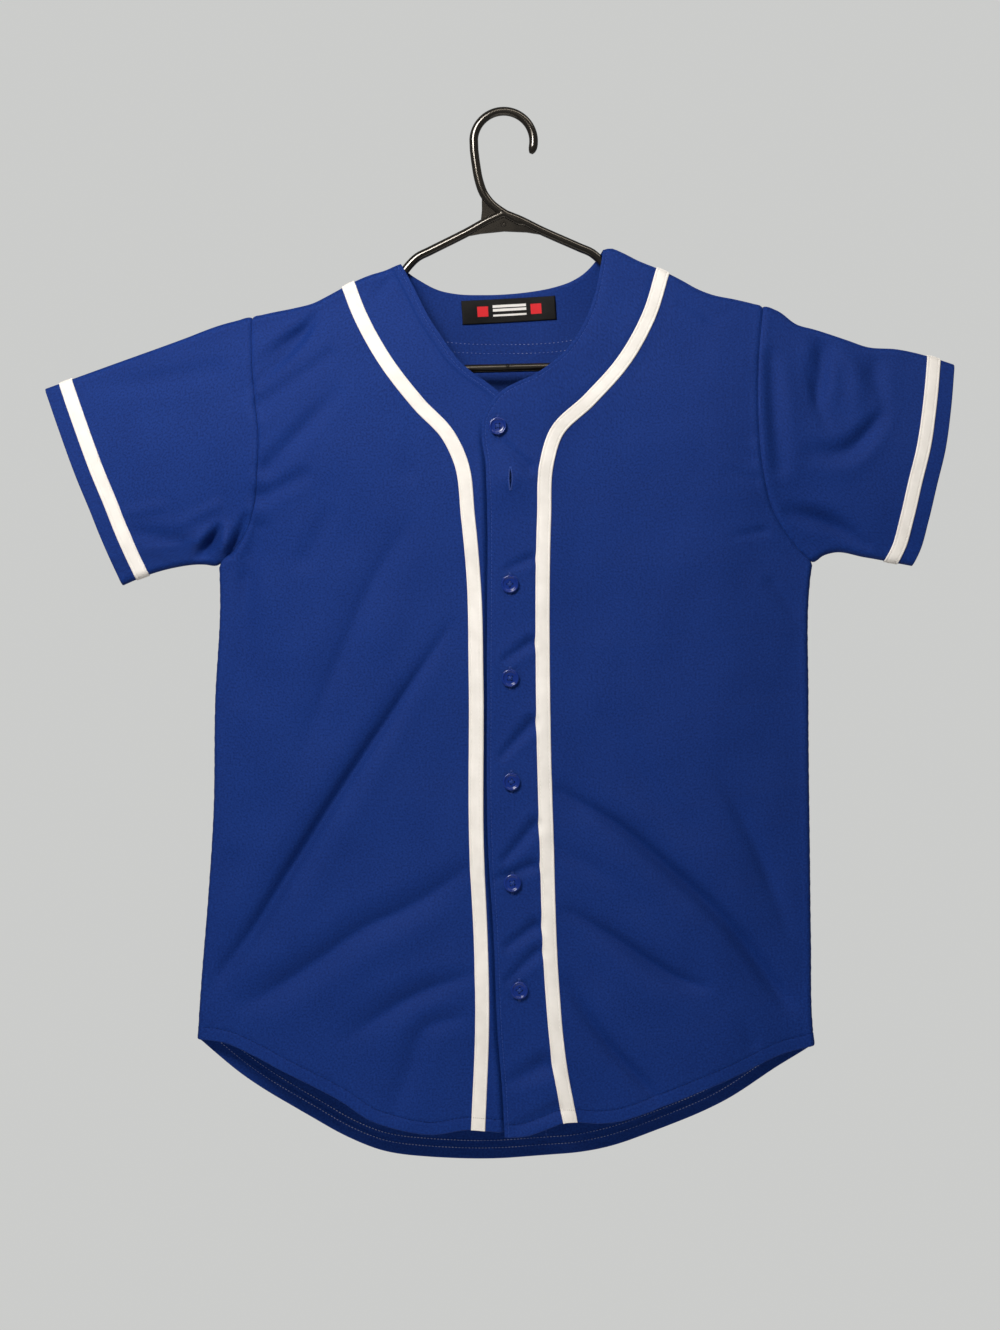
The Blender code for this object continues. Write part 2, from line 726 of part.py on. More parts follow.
hem_right = through(HEM_FRONT_RIGHT, np.array(HEM_FRONT_RIGHT[0]), side_right[-1])
hem_left = through(HEM_FRONT_LEFT, np.array(HEM_FRONT_LEFT[0]), side_left[-1])
neck_right = through(NECK_RIGHT, ridge_right[0], np.array(NECK_RIGHT[-1]))
neck_left = through(NECK_LEFT, ridge_left[0], np.array(NECK_LEFT[-1]))
shoulder_right = ridge_right[arc_length(ridge_right) < 127.0]
shoulder_right = np.vstack([shoulder_right, armhole_right[:1]])
shoulder_left = ridge_left[arc_length(ridge_left) < 137.0]
shoulder_left = np.vstack([shoulder_left, armhole_left[:1]])

grid_right, braid_column = front_grid(
    neck_right, spline(CENTRE_RIGHT), BRAID_FRONT_RIGHT, side_right,
    armhole_right, shoulder_right, hem_right)
grid_left, _ = front_grid(
    neck_left, spline(CENTRE_LEFT), BRAID_FRONT_LEFT, side_left,
    armhole_left, shoulder_left, hem_left)
cloth_right = lay(grid_right, -1)
cloth_left = lay(grid_left, -1, lifted=True)
slab("front_right", *cloth_right, CLOTH)
slab("front_left", *cloth_left, CLOTH)


# Back panel

NECK_CORNER = np.array([4.0, 11.0])
SHOULDER_COLUMNS = 4
NECK_COLUMNS = 4


def top_places(lengths):
    """Columns along both shoulders and the neckline of the back."""
    first, neck, last = lengths
    inner = np.linspace(NECK_CORNER[-1], neck - NECK_CORNER[-1], NECK_COLUMNS + 2)[1:-1]
    return np.concatenate([
        NEAR_FOLD, np.linspace(NEAR_FOLD[-1], first, SHOULDER_COLUMNS + 1)[1:],
        first + NECK_CORNER, first + inner, first + neck - NECK_CORNER[::-1],
        first + neck + np.linspace(0, last - NEAR_FOLD[-1], SHOULDER_COLUMNS + 1),
        first + neck + last - NEAR_FOLD[-2::-1]])


def back_grid():
    left = edge_rows(side_right[::-1], armhole_right[::-1], True)
    right = edge_rows(side_left[::-1], armhole_left[::-1], True)
    hem = through(HEM_BACK, side_right[-1], side_left[-1])
    neck = through(NECK_BACK, ridge_right[0], ridge_left[0])
    parts = (shoulder_right[::-1], neck, shoulder_left)
    top = np.vstack([parts[0], parts[1][1:], parts[2][1:]])
    places = top_places([length_of(part) for part in parts])
    near = len(NEAR_FOLD)
    shares = []
    for width, weight in zip(widths(left, right), smooth(ROW_SHARE)):
        share = spread(width, len(places) - 2 * near) / width
        share[near:-near] += weight * (places / places[-1] - share)[near:-near]
        shares.append(share)
    shares[-1] = places / places[-1]
    return patch(left, right, hem, top, np.array(shares))


cloth_back = lay(back_grid(), 1)
slab("back", *cloth_back, CLOTH)


# Sleeves

SLEEVE_COLUMNS = 6


def sleeve_grid(ridge, under, armhole, cuff, start):
    """Ring grid of a sleeve: front from top to bottom, then back."""
    top = ridge[arc_length(ridge) > start]
    top = np.vstack([along(ridge, start), top])
    around = spread(length_of(armhole), HIGH_ROWS)
    inner = along(armhole, around)
    outer = along(cuff, spread(length_of(cuff), HIGH_ROWS))
    reach = widths(inner, outer)
    band = (CUFF_TO_BRAID + BRAID_WIDTH, CUFF_TO_BRAID + BRAID_WIDTH / 2, CUFF_TO_BRAID, 0.0)
    grid = np.empty((len(around), SLEEVE_COLUMNS + 4, 2))
    for i, width in enumerate(reach):
        places = np.concatenate([
            np.linspace(SLEEVE_SEAM, width - band[0] - 12.0, SLEEVE_COLUMNS),
            width - np.array(band)]) / width
        across = np.linspace(0, 1, 60)
        share = around[i] / around[-1]
        upper = along(top, across * length_of(top))
        lower = along(under, across * length_of(under))
        bend_top = upper - (upper[0] + across[:, None] * (upper[-1] - upper[0]))
        bend_low = lower - (lower[0] + across[:, None] * (lower[-1] - lower[0]))
        bend = (1 - share) * bend_top + share * bend_low
        line = inner[i] + across[:, None] * (outer[i] - inner[i]) + bend
        grid[i] = np.stack([np.interp(places, across, line[:, c]) for c in range(2)], axis=1)
    return grid


def sleeve(name, braid_name, *edges):
    grid = sleeve_grid(*edges)
    front = lay_ring(grid, -1)
    back = lay_ring(grid[1:-1][::-1], 1)
    place = np.concatenate([front[0], back[0]])
    normal = np.concatenate([front[1], back[1]])
    slab(name, place, normal, CLOTH, closed=True)
    lift = CLOTH / 2 + LAY_GAP + BRAID_THICKNESS / 2
    slab(braid_name, place[:, -4:-1], normal[:, -4:-1], BRAID_THICKNESS, lift, closed=True)


def lay_ring(grid, side):
    rows, columns = grid.shape[:2]
    place, normal = surface(grid.reshape(-1, 2), side, False, 0.0)
    return place.reshape(rows, columns, 3), normal.reshape(rows, columns, 3)


sleeve("sleeve_right", "braid_sleeve_right", ridge_right, under_right,
       armhole_right, cuff_right, 127.0)
sleeve("sleeve_left", "braid_sleeve_left", ridge_left, under_left,
       armhole_left, cuff_left, 137.0)


# Neck braid: up one front, round the back of the neck, down the other front

def braid_strip():
    columns = slice(braid_column, braid_column + 3)
    right = [part[:, columns] for part in cloth_right]
    left = [part[:, columns] for part in cloth_left]
    starts = grid_right[-1, columns]
    ends = grid_left[-1, columns]
    middle = extend(spline(BRAID_BACK), 20.0, 20.0)
    lines = []
    for k, offset in enumerate((BRAID_WIDTH / 2, 0.0, -BRAID_WIDTH / 2)):
        line = meet(inset(middle, -offset), shoulder_right)
        line = meet(line[::-1], shoulder_left)[::-1]
        share = (arc_length(line) / length_of(line))[:, None]
        near = np.exp(-share * 8)
        far = np.exp(-(1 - share) * 8)
        line = line + near * (starts[k] - line[0]) + far * (ends[k] - line[-1])
        line[0] = starts[k]
        line[-1] = ends[k]
        lines.append(along(line, spread(length_of(line), 18)))
    back = lay(np.stack(lines, axis=1), 1)
    rows = np.linspace(0, 1, len(back[0]))
    ease = smooth(8 * rows) * smooth(8 * (1 - rows))
    back = (back[0] + BACK_EASE * ease[:, None, None] * back[1], back[1])
    return [np.concatenate([right[k], back[k], left[k][::-1]]) for k in range(2)]


slab("braid_neck", *braid_strip(), BRAID_THICKNESS,
     CLOTH / 2 + LAY_GAP + BRAID_THICKNESS / 2)


# Neck label on the inner side of the back

def neck_label():
    tilt = math.radians(LABEL_TILT)
    along_x = np.array([math.cos(tilt), math.sin(tilt)])
    along_z = np.array([-math.sin(tilt), math.cos(tilt)])
    grid = np.array([[np.array(LABEL_CENTRE) + u * LABEL_WIDTH * along_x
                      + v * LABEL_HEIGHT * along_z
                      for u in np.linspace(-0.5, 0.5, 9)]
                     for v in np.linspace(-0.5, 0.5, 3)])
    place, normal = lay(grid, 1)
    slab("neck_label", place, normal, LABEL_THICKNESS,
         -(CLOTH / 2 + LAY_GAP + LABEL_EASE + LABEL_THICKNESS / 2))


neck_label()


# Buttons

def button_frame(x, z, lifted):
    place, normal = surface(np.array([[x, z]]), -1, lifted)
    n = normal[0]
    up = np.array([0.0, 0.0, 1.0])
    up = up - np.dot(up, n) * n
    up /= np.linalg.norm(up)
    return place[0] + n * (CLOTH / 2 + BUTTON_GAP), np.cross(up, n), up, n


def button(name, x, z, lifted):
    centre, across, up, out = button_frame(x, z, lifted)
    vertices = []
    faces = []
    rings = BUTTON_PROFILE[1:-1]
    angles = 2 * math.pi * (np.arange(BUTTON_STEPS) + 0.3) / BUTTON_STEPS
    for radius, height in rings:
        for angle in angles:
            vertices.append(centre + height * out + radius * (
                math.cos(angle) * across + math.sin(angle) * up))
    first = len(vertices)
    vertices.append(centre + BUTTON_PROFILE[0][1] * out)
    vertices.append(centre + BUTTON_PROFILE[-1][1] * out)
    for k in range(BUTTON_STEPS):
        n = (k + 1) % BUTTON_STEPS
        faces.append((first, n, k))
        for ring in range(len(rings) - 1):
            a = ring * BUTTON_STEPS
            b = a + BUTTON_STEPS
            faces.append((a + k, a + n, b + n, b + k))
        last = (len(rings) - 1) * BUTTON_STEPS
        faces.append((last + k, last + n, first + 1))
    vertices = np.array(vertices)
    if signed_volume(vertices, faces) < 0:
        faces = [face[::-1] for face in faces]
    body = add_object(name, vertices, faces)
    for sx, sz in ((-1, -1), (-1, 1), (1, -1), (1, 1)):
        hole_centre = centre + BUTTON_HOLE_OFFSET * (sx * across + sz * up)
        combine(body, hole_tool(hole_centre, across, up, out), "DIFFERENCE")
    return body


def hole_tool(centre, across, up, out):
    steps = 6
    vertices = []
    for height in (-1.0, 4.0):
        for k in range(steps):
            angle = 2 * math.pi * (k + 0.35) / steps
            vertices.append(centre + height * out + BUTTON_HOLE_RADIUS * (
                math.cos(angle) * across + math.sin(angle) * up))
    faces = [tuple(range(steps)), tuple(range(2 * steps - 1, steps - 1, -1))]
    for k in range(steps):
        n = (k + 1) % steps
        faces.append((k, k + steps, n + steps, n))
    vertices = np.array(vertices)
    if signed_volume(vertices, faces) < 0:
        faces = [face[::-1] for face in faces]
    return add_object("hole_tool", vertices, faces)


for number, (button_x, button_z) in enumerate(BUTTONS, start=1):
    button(f"button_{number}", button_x, button_z, number != HIDDEN_BUTTON)


# Hanger

def tilted(points):
    angle = math.radians(HANGER_TILT)
    x, z = np.asarray(points, dtype=float).T
    return np.stack([x * math.cos(angle) - z * math.sin(angle) - 1.9,
                     x * math.sin(angle) + z * math.cos(angle)], axis=1)


def rod_path():
    half = np.array(HANGER_HALF)
    mirrored = half[1:-1][::-1] * [-1.0, 1.0]
    loop = tilted(np.vstack([half, mirrored]))
    closed = np.vstack([loop[-1:], loop, loop[:2]])
    dense = spline(closed, 14.0)
    start = nearest(loop[:1], dense)[1][0]
    end = len(dense) - 1 - (nearest(loop[:1], dense[::-1])[1][0])
    return dense[int(round(start)):int(round(end))]


def hook_path():
    angles = np.radians(np.arange(HOOK_START, 181.0, 12.0))
    seat_to_centre = HOOK_RADIUS - ROD_RADIUS
    arc = np.stack([HOOK_RADIUS * np.cos(angles),
                    HOOK_RADIUS * np.sin(angles) - seat_to_centre], axis=1)
    return np.vstack([arc, spline(HOOK_STEM, 6.0)])


def hanger():
    body = add_object("hanger", *tube(rod_path(), ROD_RADIUS, ROD_STEPS, True))
    hook = add_object("hook_tool", *tube(hook_path(), ROD_RADIUS, ROD_STEPS, False))
    combine(body, hook, "UNION")
    outline = np.array(GUSSET)
    count = len(outline)
    vertices = []
    for y in (-GUSSET_THICKNESS / 2, GUSSET_THICKNESS / 2):
        vertices.extend((x, y, z) for x, z in outline)
    faces = [tuple(range(count)), tuple(range(2 * count - 1, count - 1, -1))]
    for k in range(count):
        n = (k + 1) % count
        faces.append((k, k + count, n + count, n))
    vertices = np.array(vertices)
    if signed_volume(vertices, faces) < 0:
        faces = [face[::-1] for face in faces]
    combine(body, add_object("gusset_tool", vertices, faces), "UNION")


hanger()
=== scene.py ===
"""Baseball jersey on a tubular hanger, dressed for the studio.

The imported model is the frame. Z is up, X runs to the right as seen from the
front and the front faces -Y. Sizes are in millimetres and become metres where
a mesh is made.
"""
import math

import bpy
import numpy as np
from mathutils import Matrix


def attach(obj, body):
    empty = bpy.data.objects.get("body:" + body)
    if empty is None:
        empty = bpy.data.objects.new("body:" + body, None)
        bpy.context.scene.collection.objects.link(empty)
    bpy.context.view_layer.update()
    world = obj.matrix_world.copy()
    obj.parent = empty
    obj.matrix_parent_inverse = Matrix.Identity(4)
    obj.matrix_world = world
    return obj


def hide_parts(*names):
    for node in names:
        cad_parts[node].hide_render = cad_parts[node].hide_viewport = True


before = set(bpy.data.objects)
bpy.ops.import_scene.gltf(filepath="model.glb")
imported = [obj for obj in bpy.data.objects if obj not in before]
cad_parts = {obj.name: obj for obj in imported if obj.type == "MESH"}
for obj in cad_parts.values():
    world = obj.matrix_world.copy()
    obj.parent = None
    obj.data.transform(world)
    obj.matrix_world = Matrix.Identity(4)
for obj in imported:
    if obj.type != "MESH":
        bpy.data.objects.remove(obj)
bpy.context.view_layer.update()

MM = 0.001

# Cloth and trim
CLOTH = 1.4
BRAID_WIDTH = 11.2
BRAID_THICKNESS = 0.9
LABEL_THICKNESS = 0.5
BUTTON_GAP = 0.6
HEM_STITCH = 10.2

# Hollow of the garment
FOLD_RADIUS = 5.0
OPENING_LENGTH = 55.0
BODY_DEPTH = 21.0
SLEEVE_DEPTH = 13.0
SLEEVE_FROM = 165.0
SLEEVE_FADE = 80.0
HEM_EXTRA = 4.0
HEM_FROM = 480.0
HEM_FADE = 330.0
OPENING_START = 0.12
OUTSIDE_REACH = 4.0
CORNER_REACH = 30.0
CORNER_DROP = 7.5
RIPPLE_FREE = 30.0

# Profile of a fold
FOLD_STEP = 6.0
FOLD_REACH = 3.2
FOLD_RIM = 0.8
FOLD_FALL = 0.7
FOLD_FREE = 22.0

# Placket
PLACKET_LIFT = 2.2
PLACKET_START = 5.0
PLACKET_FADE = 35.0
UNDER_EDGE = ((300.0, 587.0, 697.0, 812.0), (22.6, 23.8, 29.6, 36.8))  # depth and x
HIDDEN_BUTTON_LIFT = 4.0
HIDDEN_BUTTON_SPREAD = 16.0
RIM_LIFT = 0.7
RIM_REACH = 9.5
RIM_FADE = 3.5

# Distance along each shoulder from the neck to the sleeve
SLEEVE_START_RIGHT = 127.0
SLEEVE_START_LEFT = 137.0

# Outline seen from the front, columns x and z
RIDGE_RIGHT = (
    (-82.6, -118.2), (-94, -123.6), (-107, -127.6), (-121, -133.6), (-139.5, -143.6),
    (-153, -150.3), (-167, -153.9), (-185.4, -157.6), (-201, -161.2), (-226, -167.5),
    (-256.5, -178.9), (-318, -201.1), (-366.6, -218.7),
)
RIDGE_LEFT = (
    (79.4, -106.9), (86, -106.2), (94, -109.2), (107.5, -116), (124, -122.7), (143, -132),
    (154, -138.2), (167, -143.3), (185, -147), (207.6, -152.6), (219, -156.2), (234.7, -167.3),
    (248, -171), (275.5, -180), (290, -185), (314.7, -187), (345.7, -194.4), (360.3, -199.3),
)
UNDERARM_RIGHT = (
    (-228.2, -360), (-245, -359.2), (-264, -361.9), (-290.9, -370), (-304.5, -376),
)
UNDERARM_LEFT = (
    (247.6, -358), (254.5, -352.7), (264, -349.7), (288.6, -353.4), (326.8, -360.4),
)
SIDE_RIGHT = (
    (-228.2, -360), (-227.6, -388), (-231.5, -467), (-233, -560), (-237.3, -627), (-242.5, -691),
    (-245.7, -738),
)
SIDE_LEFT = (
    (247.6, -358), (245.6, -376), (244.7, -467), (245.9, -595), (246.7, -660), (248.3, -731),
    (249.6, -743),
)
CUFF_RIGHT = (
    (-366.6, -218.7), (-353.7, -254.3), (-340, -290.9), (-329.4, -316.6), (-321.7, -336.4),
    (-313.2, -356.5), (-304.5, -376),
)
CUFF_LEFT = (
    (360.3, -199.3), (356.4, -237.3), (351.7, -268.1), (345.1, -295.6), (338.6, -324.9),
    (332.1, -349.2), (326.8, -360.4),
)
ARMHOLE_RIGHT = (
    (-201, -161.2), (-201.4, -178.5), (-199.1, -218), (-195.3, -256.1), (-196.1, -286.4),
    (-199.1, -313.7), (-205.9, -333.5), (-216.6, -348), (-228.2, -360),
)
ARMHOLE_LEFT = (
    (207.6, -152.6), (203.7, -190.5), (202.5, -231), (203.7, -263.5), (207.8, -292.6),
    (215.1, -316.9), (226.5, -336.3), (238, -350), (247.6, -358),
)

# Free edges of the front and back, columns x and z
NECK_RIGHT = (
    (-82.6, -118.2), (-77.1, -127.9), (-69, -144.1), (-59.3, -163.6), (-47.9, -181.4),
    (-36.6, -197.6), (-25.3, -208.2), (-14, -216.3), (-5, -223.5), (5, -233), (13, -245),
    (18, -258),
)
CENTRE_RIGHT = (
    (18, -258), (20.5, -275), (22, -300), (22.6, -450), (23.8, -587), (28.1, -653), (31, -726),
    (35.4, -785), (36.8, -811.5),
)
NECK_LEFT = (
    (79.4, -106.9), (76.1, -126.3), (72, -145.7), (65.4, -163.6), (57.5, -178.3), (47.7, -191.1),
    (36.3, -200.9), (23.3, -209.8), (10.4, -215.5), (-1, -221.9), (-9.9, -231.7), (-15.9, -242.3),
    (-17.7, -249.5),
)
CENTRE_LEFT = (
    (-17.7, -249.5), (-17.1, -262.6), (-14.7, -277.3), (-13.6, -300), (-13.3, -450),
    (-12.2, -587.2), (-7.9, -653.2), (-5, -726.3), (-0.6, -784.7), (0.8, -812.4),
)
HEM_FRONT_RIGHT = (
    (36.8, -801.5), (-0.5, -808.6), (-26.2, -806.6), (-58.8, -810.6), (-84.5, -806.4),
    (-106.8, -799), (-127.3, -785.9), (-178.7, -760.2), (-201.4, -749.1), (-221.9, -740.9),
    (-245.7, -738),
)
HEM_FRONT_LEFT = (
    (0.8, -812.4), (17.7, -811.4), (35.9, -805.3), (48, -800.8), (75.7, -802), (90.3, -800.6),
    (108.4, -795.4), (135.5, -785.3), (190.1, -763.6), (222.8, -749.4), (249.6, -743),
)
HEM_BACK = (
    (-245.7, -738), (-209.2, -769.7), (-156.6, -804.5), (-130.3, -819.5), (-104, -830),
    (-60.3, -837.7), (11.7, -837.6), (64.3, -833.6), (120.1, -817), (176, -793), (222.5, -760.8),
    (249.6, -743),
)
NECK_BACK = (
    (-82.6, -118.2), (-78, -123.2), (-66.5, -130.7), (-53.5, -137), (-37, -140.2), (-17.3, -140.6),
    (2.3, -139.8), (23.6, -137.6), (40.1, -134.6), (54.8, -129.9), (64.6, -124.1), (72.9, -115.9),
    (79.4, -106.9),
)

# Middle line of the braid, columns x and z
BRAID_FRONT_RIGHT = (
    (-124.2, -135.6), (-115.9, -157.5), (-95, -196.4), (-67.2, -232.8), (-43.6, -258.2),
    (-34.5, -277), (-28.1, -323), (-23.8, -370), (-22.1, -450), (-21.5, -587), (-18, -660),
    (-16.9, -715), (-20.2, -806.8),
)
BRAID_FRONT_LEFT = (
    (127.3, -124), (115.9, -160.6), (94.8, -198.9), (68.2, -229.1), (41.4, -255.8), (33.9, -280),
    (31.9, -323), (31.1, -465), (34.1, -587), (38.4, -697), (44.2, -756), (52.5, -800.7),
)
BRAID_BACK = (
    (-124.2, -135.6), (-117, -152), (-98, -168.5), (-60, -180.5), (0, -184.5), (60, -180),
    (99, -166), (120, -147), (127.3, -124),
)
CUFF_TO_BRAID = 12.0

# Folds of the front, columns x, z, half width and depth
FOLDS_FRONT = (
    ((-36.9, -400, 7, 0), (-82, -467.2, 9, 3), (-129.4, -538.4, 12, 5), (-168.9, -601.6, 14, 5.5),
     (-200.6, -653, 16, 4.5), (-236.1, -700.5, 16, 1)),
    ((-30.6, -601.6, 9, 1), (-74, -630.9, 13, 3.5), (-111.2, -649.1, 14, 4.5),
     (-150.7, -676.7, 14, 4.5), (-190.3, -702, 14, 3), (-214, -714, 14, 0)),
    ((-26.6, -684.6, 8, 1), (-60.6, -696.5, 11, 3.5), (-89.9, -712.3, 12, 3.5),
     (-131.8, -741.6, 12, 0)),
    ((-34.5, -717.9, 8, 1), (-60.6, -725.8, 11, 3), (-74, -757.4, 12, 3), (-87.5, -793, 12, 1.5)),
    ((-71.7, -319.3, 12, 0), (-102, -370, 15, 2), (-129.4, -433.2, 17, 2.5),
     (-174.5, -546.3, 17, 0)),
    ((44.6, -538.4, 9, 1), (92, -567.6, 12, 4), (129.2, -599.2, 13, 5), (179, -646.7, 15, 5),
     (218.5, -698.9, 16, 3), (234.3, -720, 16, 0)),
    ((52.5, -633.3, 9, 1), (86.5, -654.6, 11, 3.5), (139.5, -688.6, 13, 3.5), (168, -698, 13, 0)),
    ((50.1, -691, 9, 1), (81.7, -738.4, 11, 3.5), (113.4, -773.2, 12, 2.5), (125, -788, 12, 1)),
    ((165.5, -517, 14, 0), (200.3, -583.4, 15, 3), (234.3, -672.8, 15, 0)),
    ((-145.8, -152.1, 8, 0), (-156.1, -173.5, 10, 2), (-191.1, -210.8, 11, 1.5),
     (-215, -232, 11, 0)),
    ((243, -190, 12, 0), (246, -215, 13, 2), (262, -262, 14, 0)),
    ((225.3, -313.9, 9, 0), (257.1, -324.6, 10, 2), (291.3, -340, 10, 0)),
)
FOLDS_BACK = (
    ((-120, -260, 26, 0), (-112, -480, 30, 3), (-98, -700, 32, 4), (-92, -835, 32, 4)),
    ((118, -250, 26, 0), (108, -470, 30, 3), (96, -690, 32, 4), (92, -835, 32, 4)),
    ((6, -420, 26, 0), (2, -600, 32, 2.5), (0, -838, 34, 3.5)),
)

# Smaller creases of the dressed cloth, columns x, z, half width and depth.
# A negative depth is a ridge.
PLACKET_CREASES = (
    ((-5.3, -259.5, 3.6, 1.2), (21, -283.5, 4.5, 2.6)),
    ((2.7, -363.5, 3.6, 0.9), (21, -355.5, 4.5, 2.1)),
    ((1.1, -435.5, 4, 1.4), (21, -422, 5.4, 3)),
    ((-1.3, -511.5, 4, 1.4), (22.7, -485, 5.9, 3.3)),
    ((1.1, -593.2, 4.5, 1.8), (25, -566, 6.3, 3.5)),
    ((-6.9, -609, 4, 1.2), (23.5, -598, 5.4, 3)),
    ((2.7, -662, 4.5, 1.8), (25, -646, 6.3, 3.3)),
    ((2.7, -689, 4, 1.4), (26.7, -666, 5.9, 3)),
    ((5.1, -769, 7.2, 1.4), (31.5, -755.5, 9.9, 4.2)),
    ((10.7, -803.5, 5.4, 1.2), (42.7, -790, 7.2, 3)),
)
RIGHT_CREASES = (
    ((-336, -219, 8, 0), (-290, -214, 10, 1.4), (-230, -205, 10, 1.4)),
    ((-299, -318, 5, -0.8), (-272.5, -313, 5, -0.8)),
    ((-256.5, -326, 5, -0.8), (-229.5, -313, 5, -1)),
    ((-227.4, -331, 3.6, 2), (-234.5, -342, 5, 11), (-241, -352, 6, 15)),
    ((-221.5, -329, 4, -1.2), (-222.5, -345, 4.5, -4.5), (-226, -352, 4, -3)),
    ((-206, -322, 4, 2), (-212, -338, 4.5, 6.5), (-219, -351, 4, 6)),
    ((-292, -334, 7, 1), (-262, -341, 8, 2.4), (-244, -350, 8, 2)),
    ((-194.9, -331.5, 9, 2), (-203, -370, 10, 3), (-209, -404, 11, 0.5)),
    ((-138.9, -193.1, 7, 1), (-192.5, -233.1, 9, 2.6)),
    ((-151, -161, 4, 1.6), (-161, -173, 5.5, 3.6), (-178, -188, 8, 3), (-192, -200, 9, 1)),
    ((-87, -126, 4, 1), (-94, -135, 5, 2.4), (-104, -149, 6, 0.8)),
    ((-133.3, -225.1, 7, 0.8), (-160.5, -253.9, 8, 2.4), (-187, -283.5, 9, 3)),
    ((-157.3, -289.1, 7, 1), (-192.5, -305.1, 8, 2.6)),
    ((-138.9, -321.1, 8, 0.8), (-157.3, -355.5, 10, 1.4)),
    ((-72.5, -251.5, 8, 0.5), (-74.9, -285.9, 9, 0.9)),
    ((-207, -372, 9, 1.4), (-206, -420, 10, 1.8), (-215, -465, 10, 0.8)),
    ((-218.9, -595.5, 9, 1), (-232.5, -649.1, 9, 1.6)),
)
LEFT_CREASES = (
    ((254, -166, 9, 4), (254, -196, 8, 4.5), (252, -224, 6, 3.2), (251, -236, 5, 0)),
    ((270, -180, 8, -2.4), (281, -214, 8, -2.4), (282, -244, 8, -0.6)),
    ((298, -178, 9, 3.2), (297, -205, 8, 2.6), (301, -228, 6, 1.2)),
    ((304.5, -234.5, 6, 0.8), (292, -252.5, 7.5, 4), (274.5, -268.5, 9, 4.4),
     (247, -270.5, 9, 1.4)),
    ((213.5, -195, 7, 1.6), (215.7, -237.9, 8, 3.4), (219.7, -281, 8, 1.8)),
    ((227, -317, 6, 1.2), (255, -324, 7.5, 4), (287, -346, 7, 5)),
    ((141.1, -151, 4.5, 0.6), (152, -154.5, 5, 1.2), (167.5, -163.5, 5.5, 1.3),
     (183, -157, 5, 0.7)),
    ((109.1, -197.9, 9, 0.5), (194.7, -257.1, 9, 1.2)),
    ((141.1, -237.9, 8, 0.5), (194.7, -275.5, 8, 1.1)),
    ((178.7, -285.9, 6, 0.4), (199.5, -291.5, 6, 0.9)),
    ((183.5, -337.1, 4, 0.6), (207, -333.1, 4.5, 1.3)),
    ((213, -375, 6, 1.4), (232, -395.5, 7, 1.6)),
    ((82.7, -483.5, 12, 0.4), (106.7, -521.1, 12, 1.3), (125.1, -553.1, 12, 1.5),
     (141.1, -569.1, 12, 0.6)),
    ((45.1, -585.1, 8, 0.8), (71.5, -601.1, 8, 1.6), (87.5, -611.5, 8, 0.8)),
    ((189.1, -723.5, 8, 0.8), (197.1, -739.5, 8, 1.4)),
)
UNDER_PLACKET = tuple((x + 0.7, z, 3.3, depth) for (x, z), depth in zip(
    CENTRE_LEFT, (0.4, 1.6, 2.6, 3.0, 3.2, 3.2, 3.2, 3.2, 3.2, 3.0)))
CORE_SHARES = (0.95, 0.35, 0.30, 0.25, 0.5, 1.0, 0.95, 1.05, 0.7, 0.7, 0.7, 0.0)
FOLD_CORES = tuple(
    tuple((x, z, 0.38 * width, share * depth) for x, z, width, depth in fold)
    for fold, share in zip(FOLDS_FRONT, CORE_SHARES))
CREASES_FRONT = PLACKET_CREASES + RIGHT_CREASES + LEFT_CREASES + FOLD_CORES
CREASES_BACK = (
    ((-150, -170, 12, 0), (-60, -215, 16, 1.2), (0, -228, 18, 0)),
    ((150, -165, 12, 0), (70, -212, 16, 1.2), (10, -230, 18, 0)),
    ((-190, -215, 8, 0.6), (-165, -262, 10, 3), (-122, -312, 12, 0.6)),
    ((196, -210, 8, 0.6), (172, -250, 10, 3), (130, -298, 12, 0.6)),
    ((-224, -408, 10, 0.8), (-176, -492, 13, 3.6), (-126, -604, 15, 1)),
    ((230, -396, 10, 0.8), (184, -470, 12, 3.8), (140, -590, 15, 1.2)),
    ((222, -520, 10, 0.6), (190, -600, 12, 3.2), (166, -700, 14, 0.8)),
    ((-64, -540, 12, 0.6), (-40, -664, 14, 3.2), (-30, -800, 15, 1.8)),
    ((44, -600, 12, 0.5), (58, -708, 13, 2.8), (54, -822, 14, 1.6)),
)

# Buttons, columns x and z of each middle, from the neck down
BUTTONS = (
    (-4.5, -250.9), (5.0, -293.5), (5.0, -375.6), (5.2, -449.8),
    (6.2, -531.8), (7.0, -611.9), (12.4, -696.0),
)
HIDDEN_BUTTON = 2

# Neck label: its middle, size and tilt
LABEL_CENTRE = (4.2, -153.6)
LABEL_WIDTH = 76.0
LABEL_HEIGHT = 19.0
LABEL_TILT = 3.4

# Hanger: right half of the rod before it is tilted, columns x and z
HANGER_TILT = 1.4
ROD_RADIUS = 3.5
HANGER_HALF = (
    (0, -79), (8, -81.8), (30, -92.9), (60, -107), (70, -111.8), (76, -117.2), (81.5, -123.4),
    (88, -128.2), (98, -131.4), (112, -135.6), (130, -144), (150, -153.2), (162, -157.4),
    (176, -160.2), (189, -163), (198, -167), (203.6, -175), (203.6, -187), (197, -196.6),
    (186, -201.4), (168, -202), (120, -202), (60, -202), (0, -202),
)
HOOK_RADIUS = 24.0
HOOK_START = -24.0
HOOK_STEM = (
    (-23.6, -28), (-22.1, -39.5), (-19.6, -52.5), (-16.2, -62), (-9.6, -70.8), (-1.5, -77),
    (7, -82), (16, -87),
)
GUSSET = ((-37.0, -98.0), (0.5, -80.0), (37.5, -96.4), (19.0, -93.4),
          (0.0, -92.4), (-19.0, -94.6))
GUSSET_THICKNESS = 3.0


# Curves

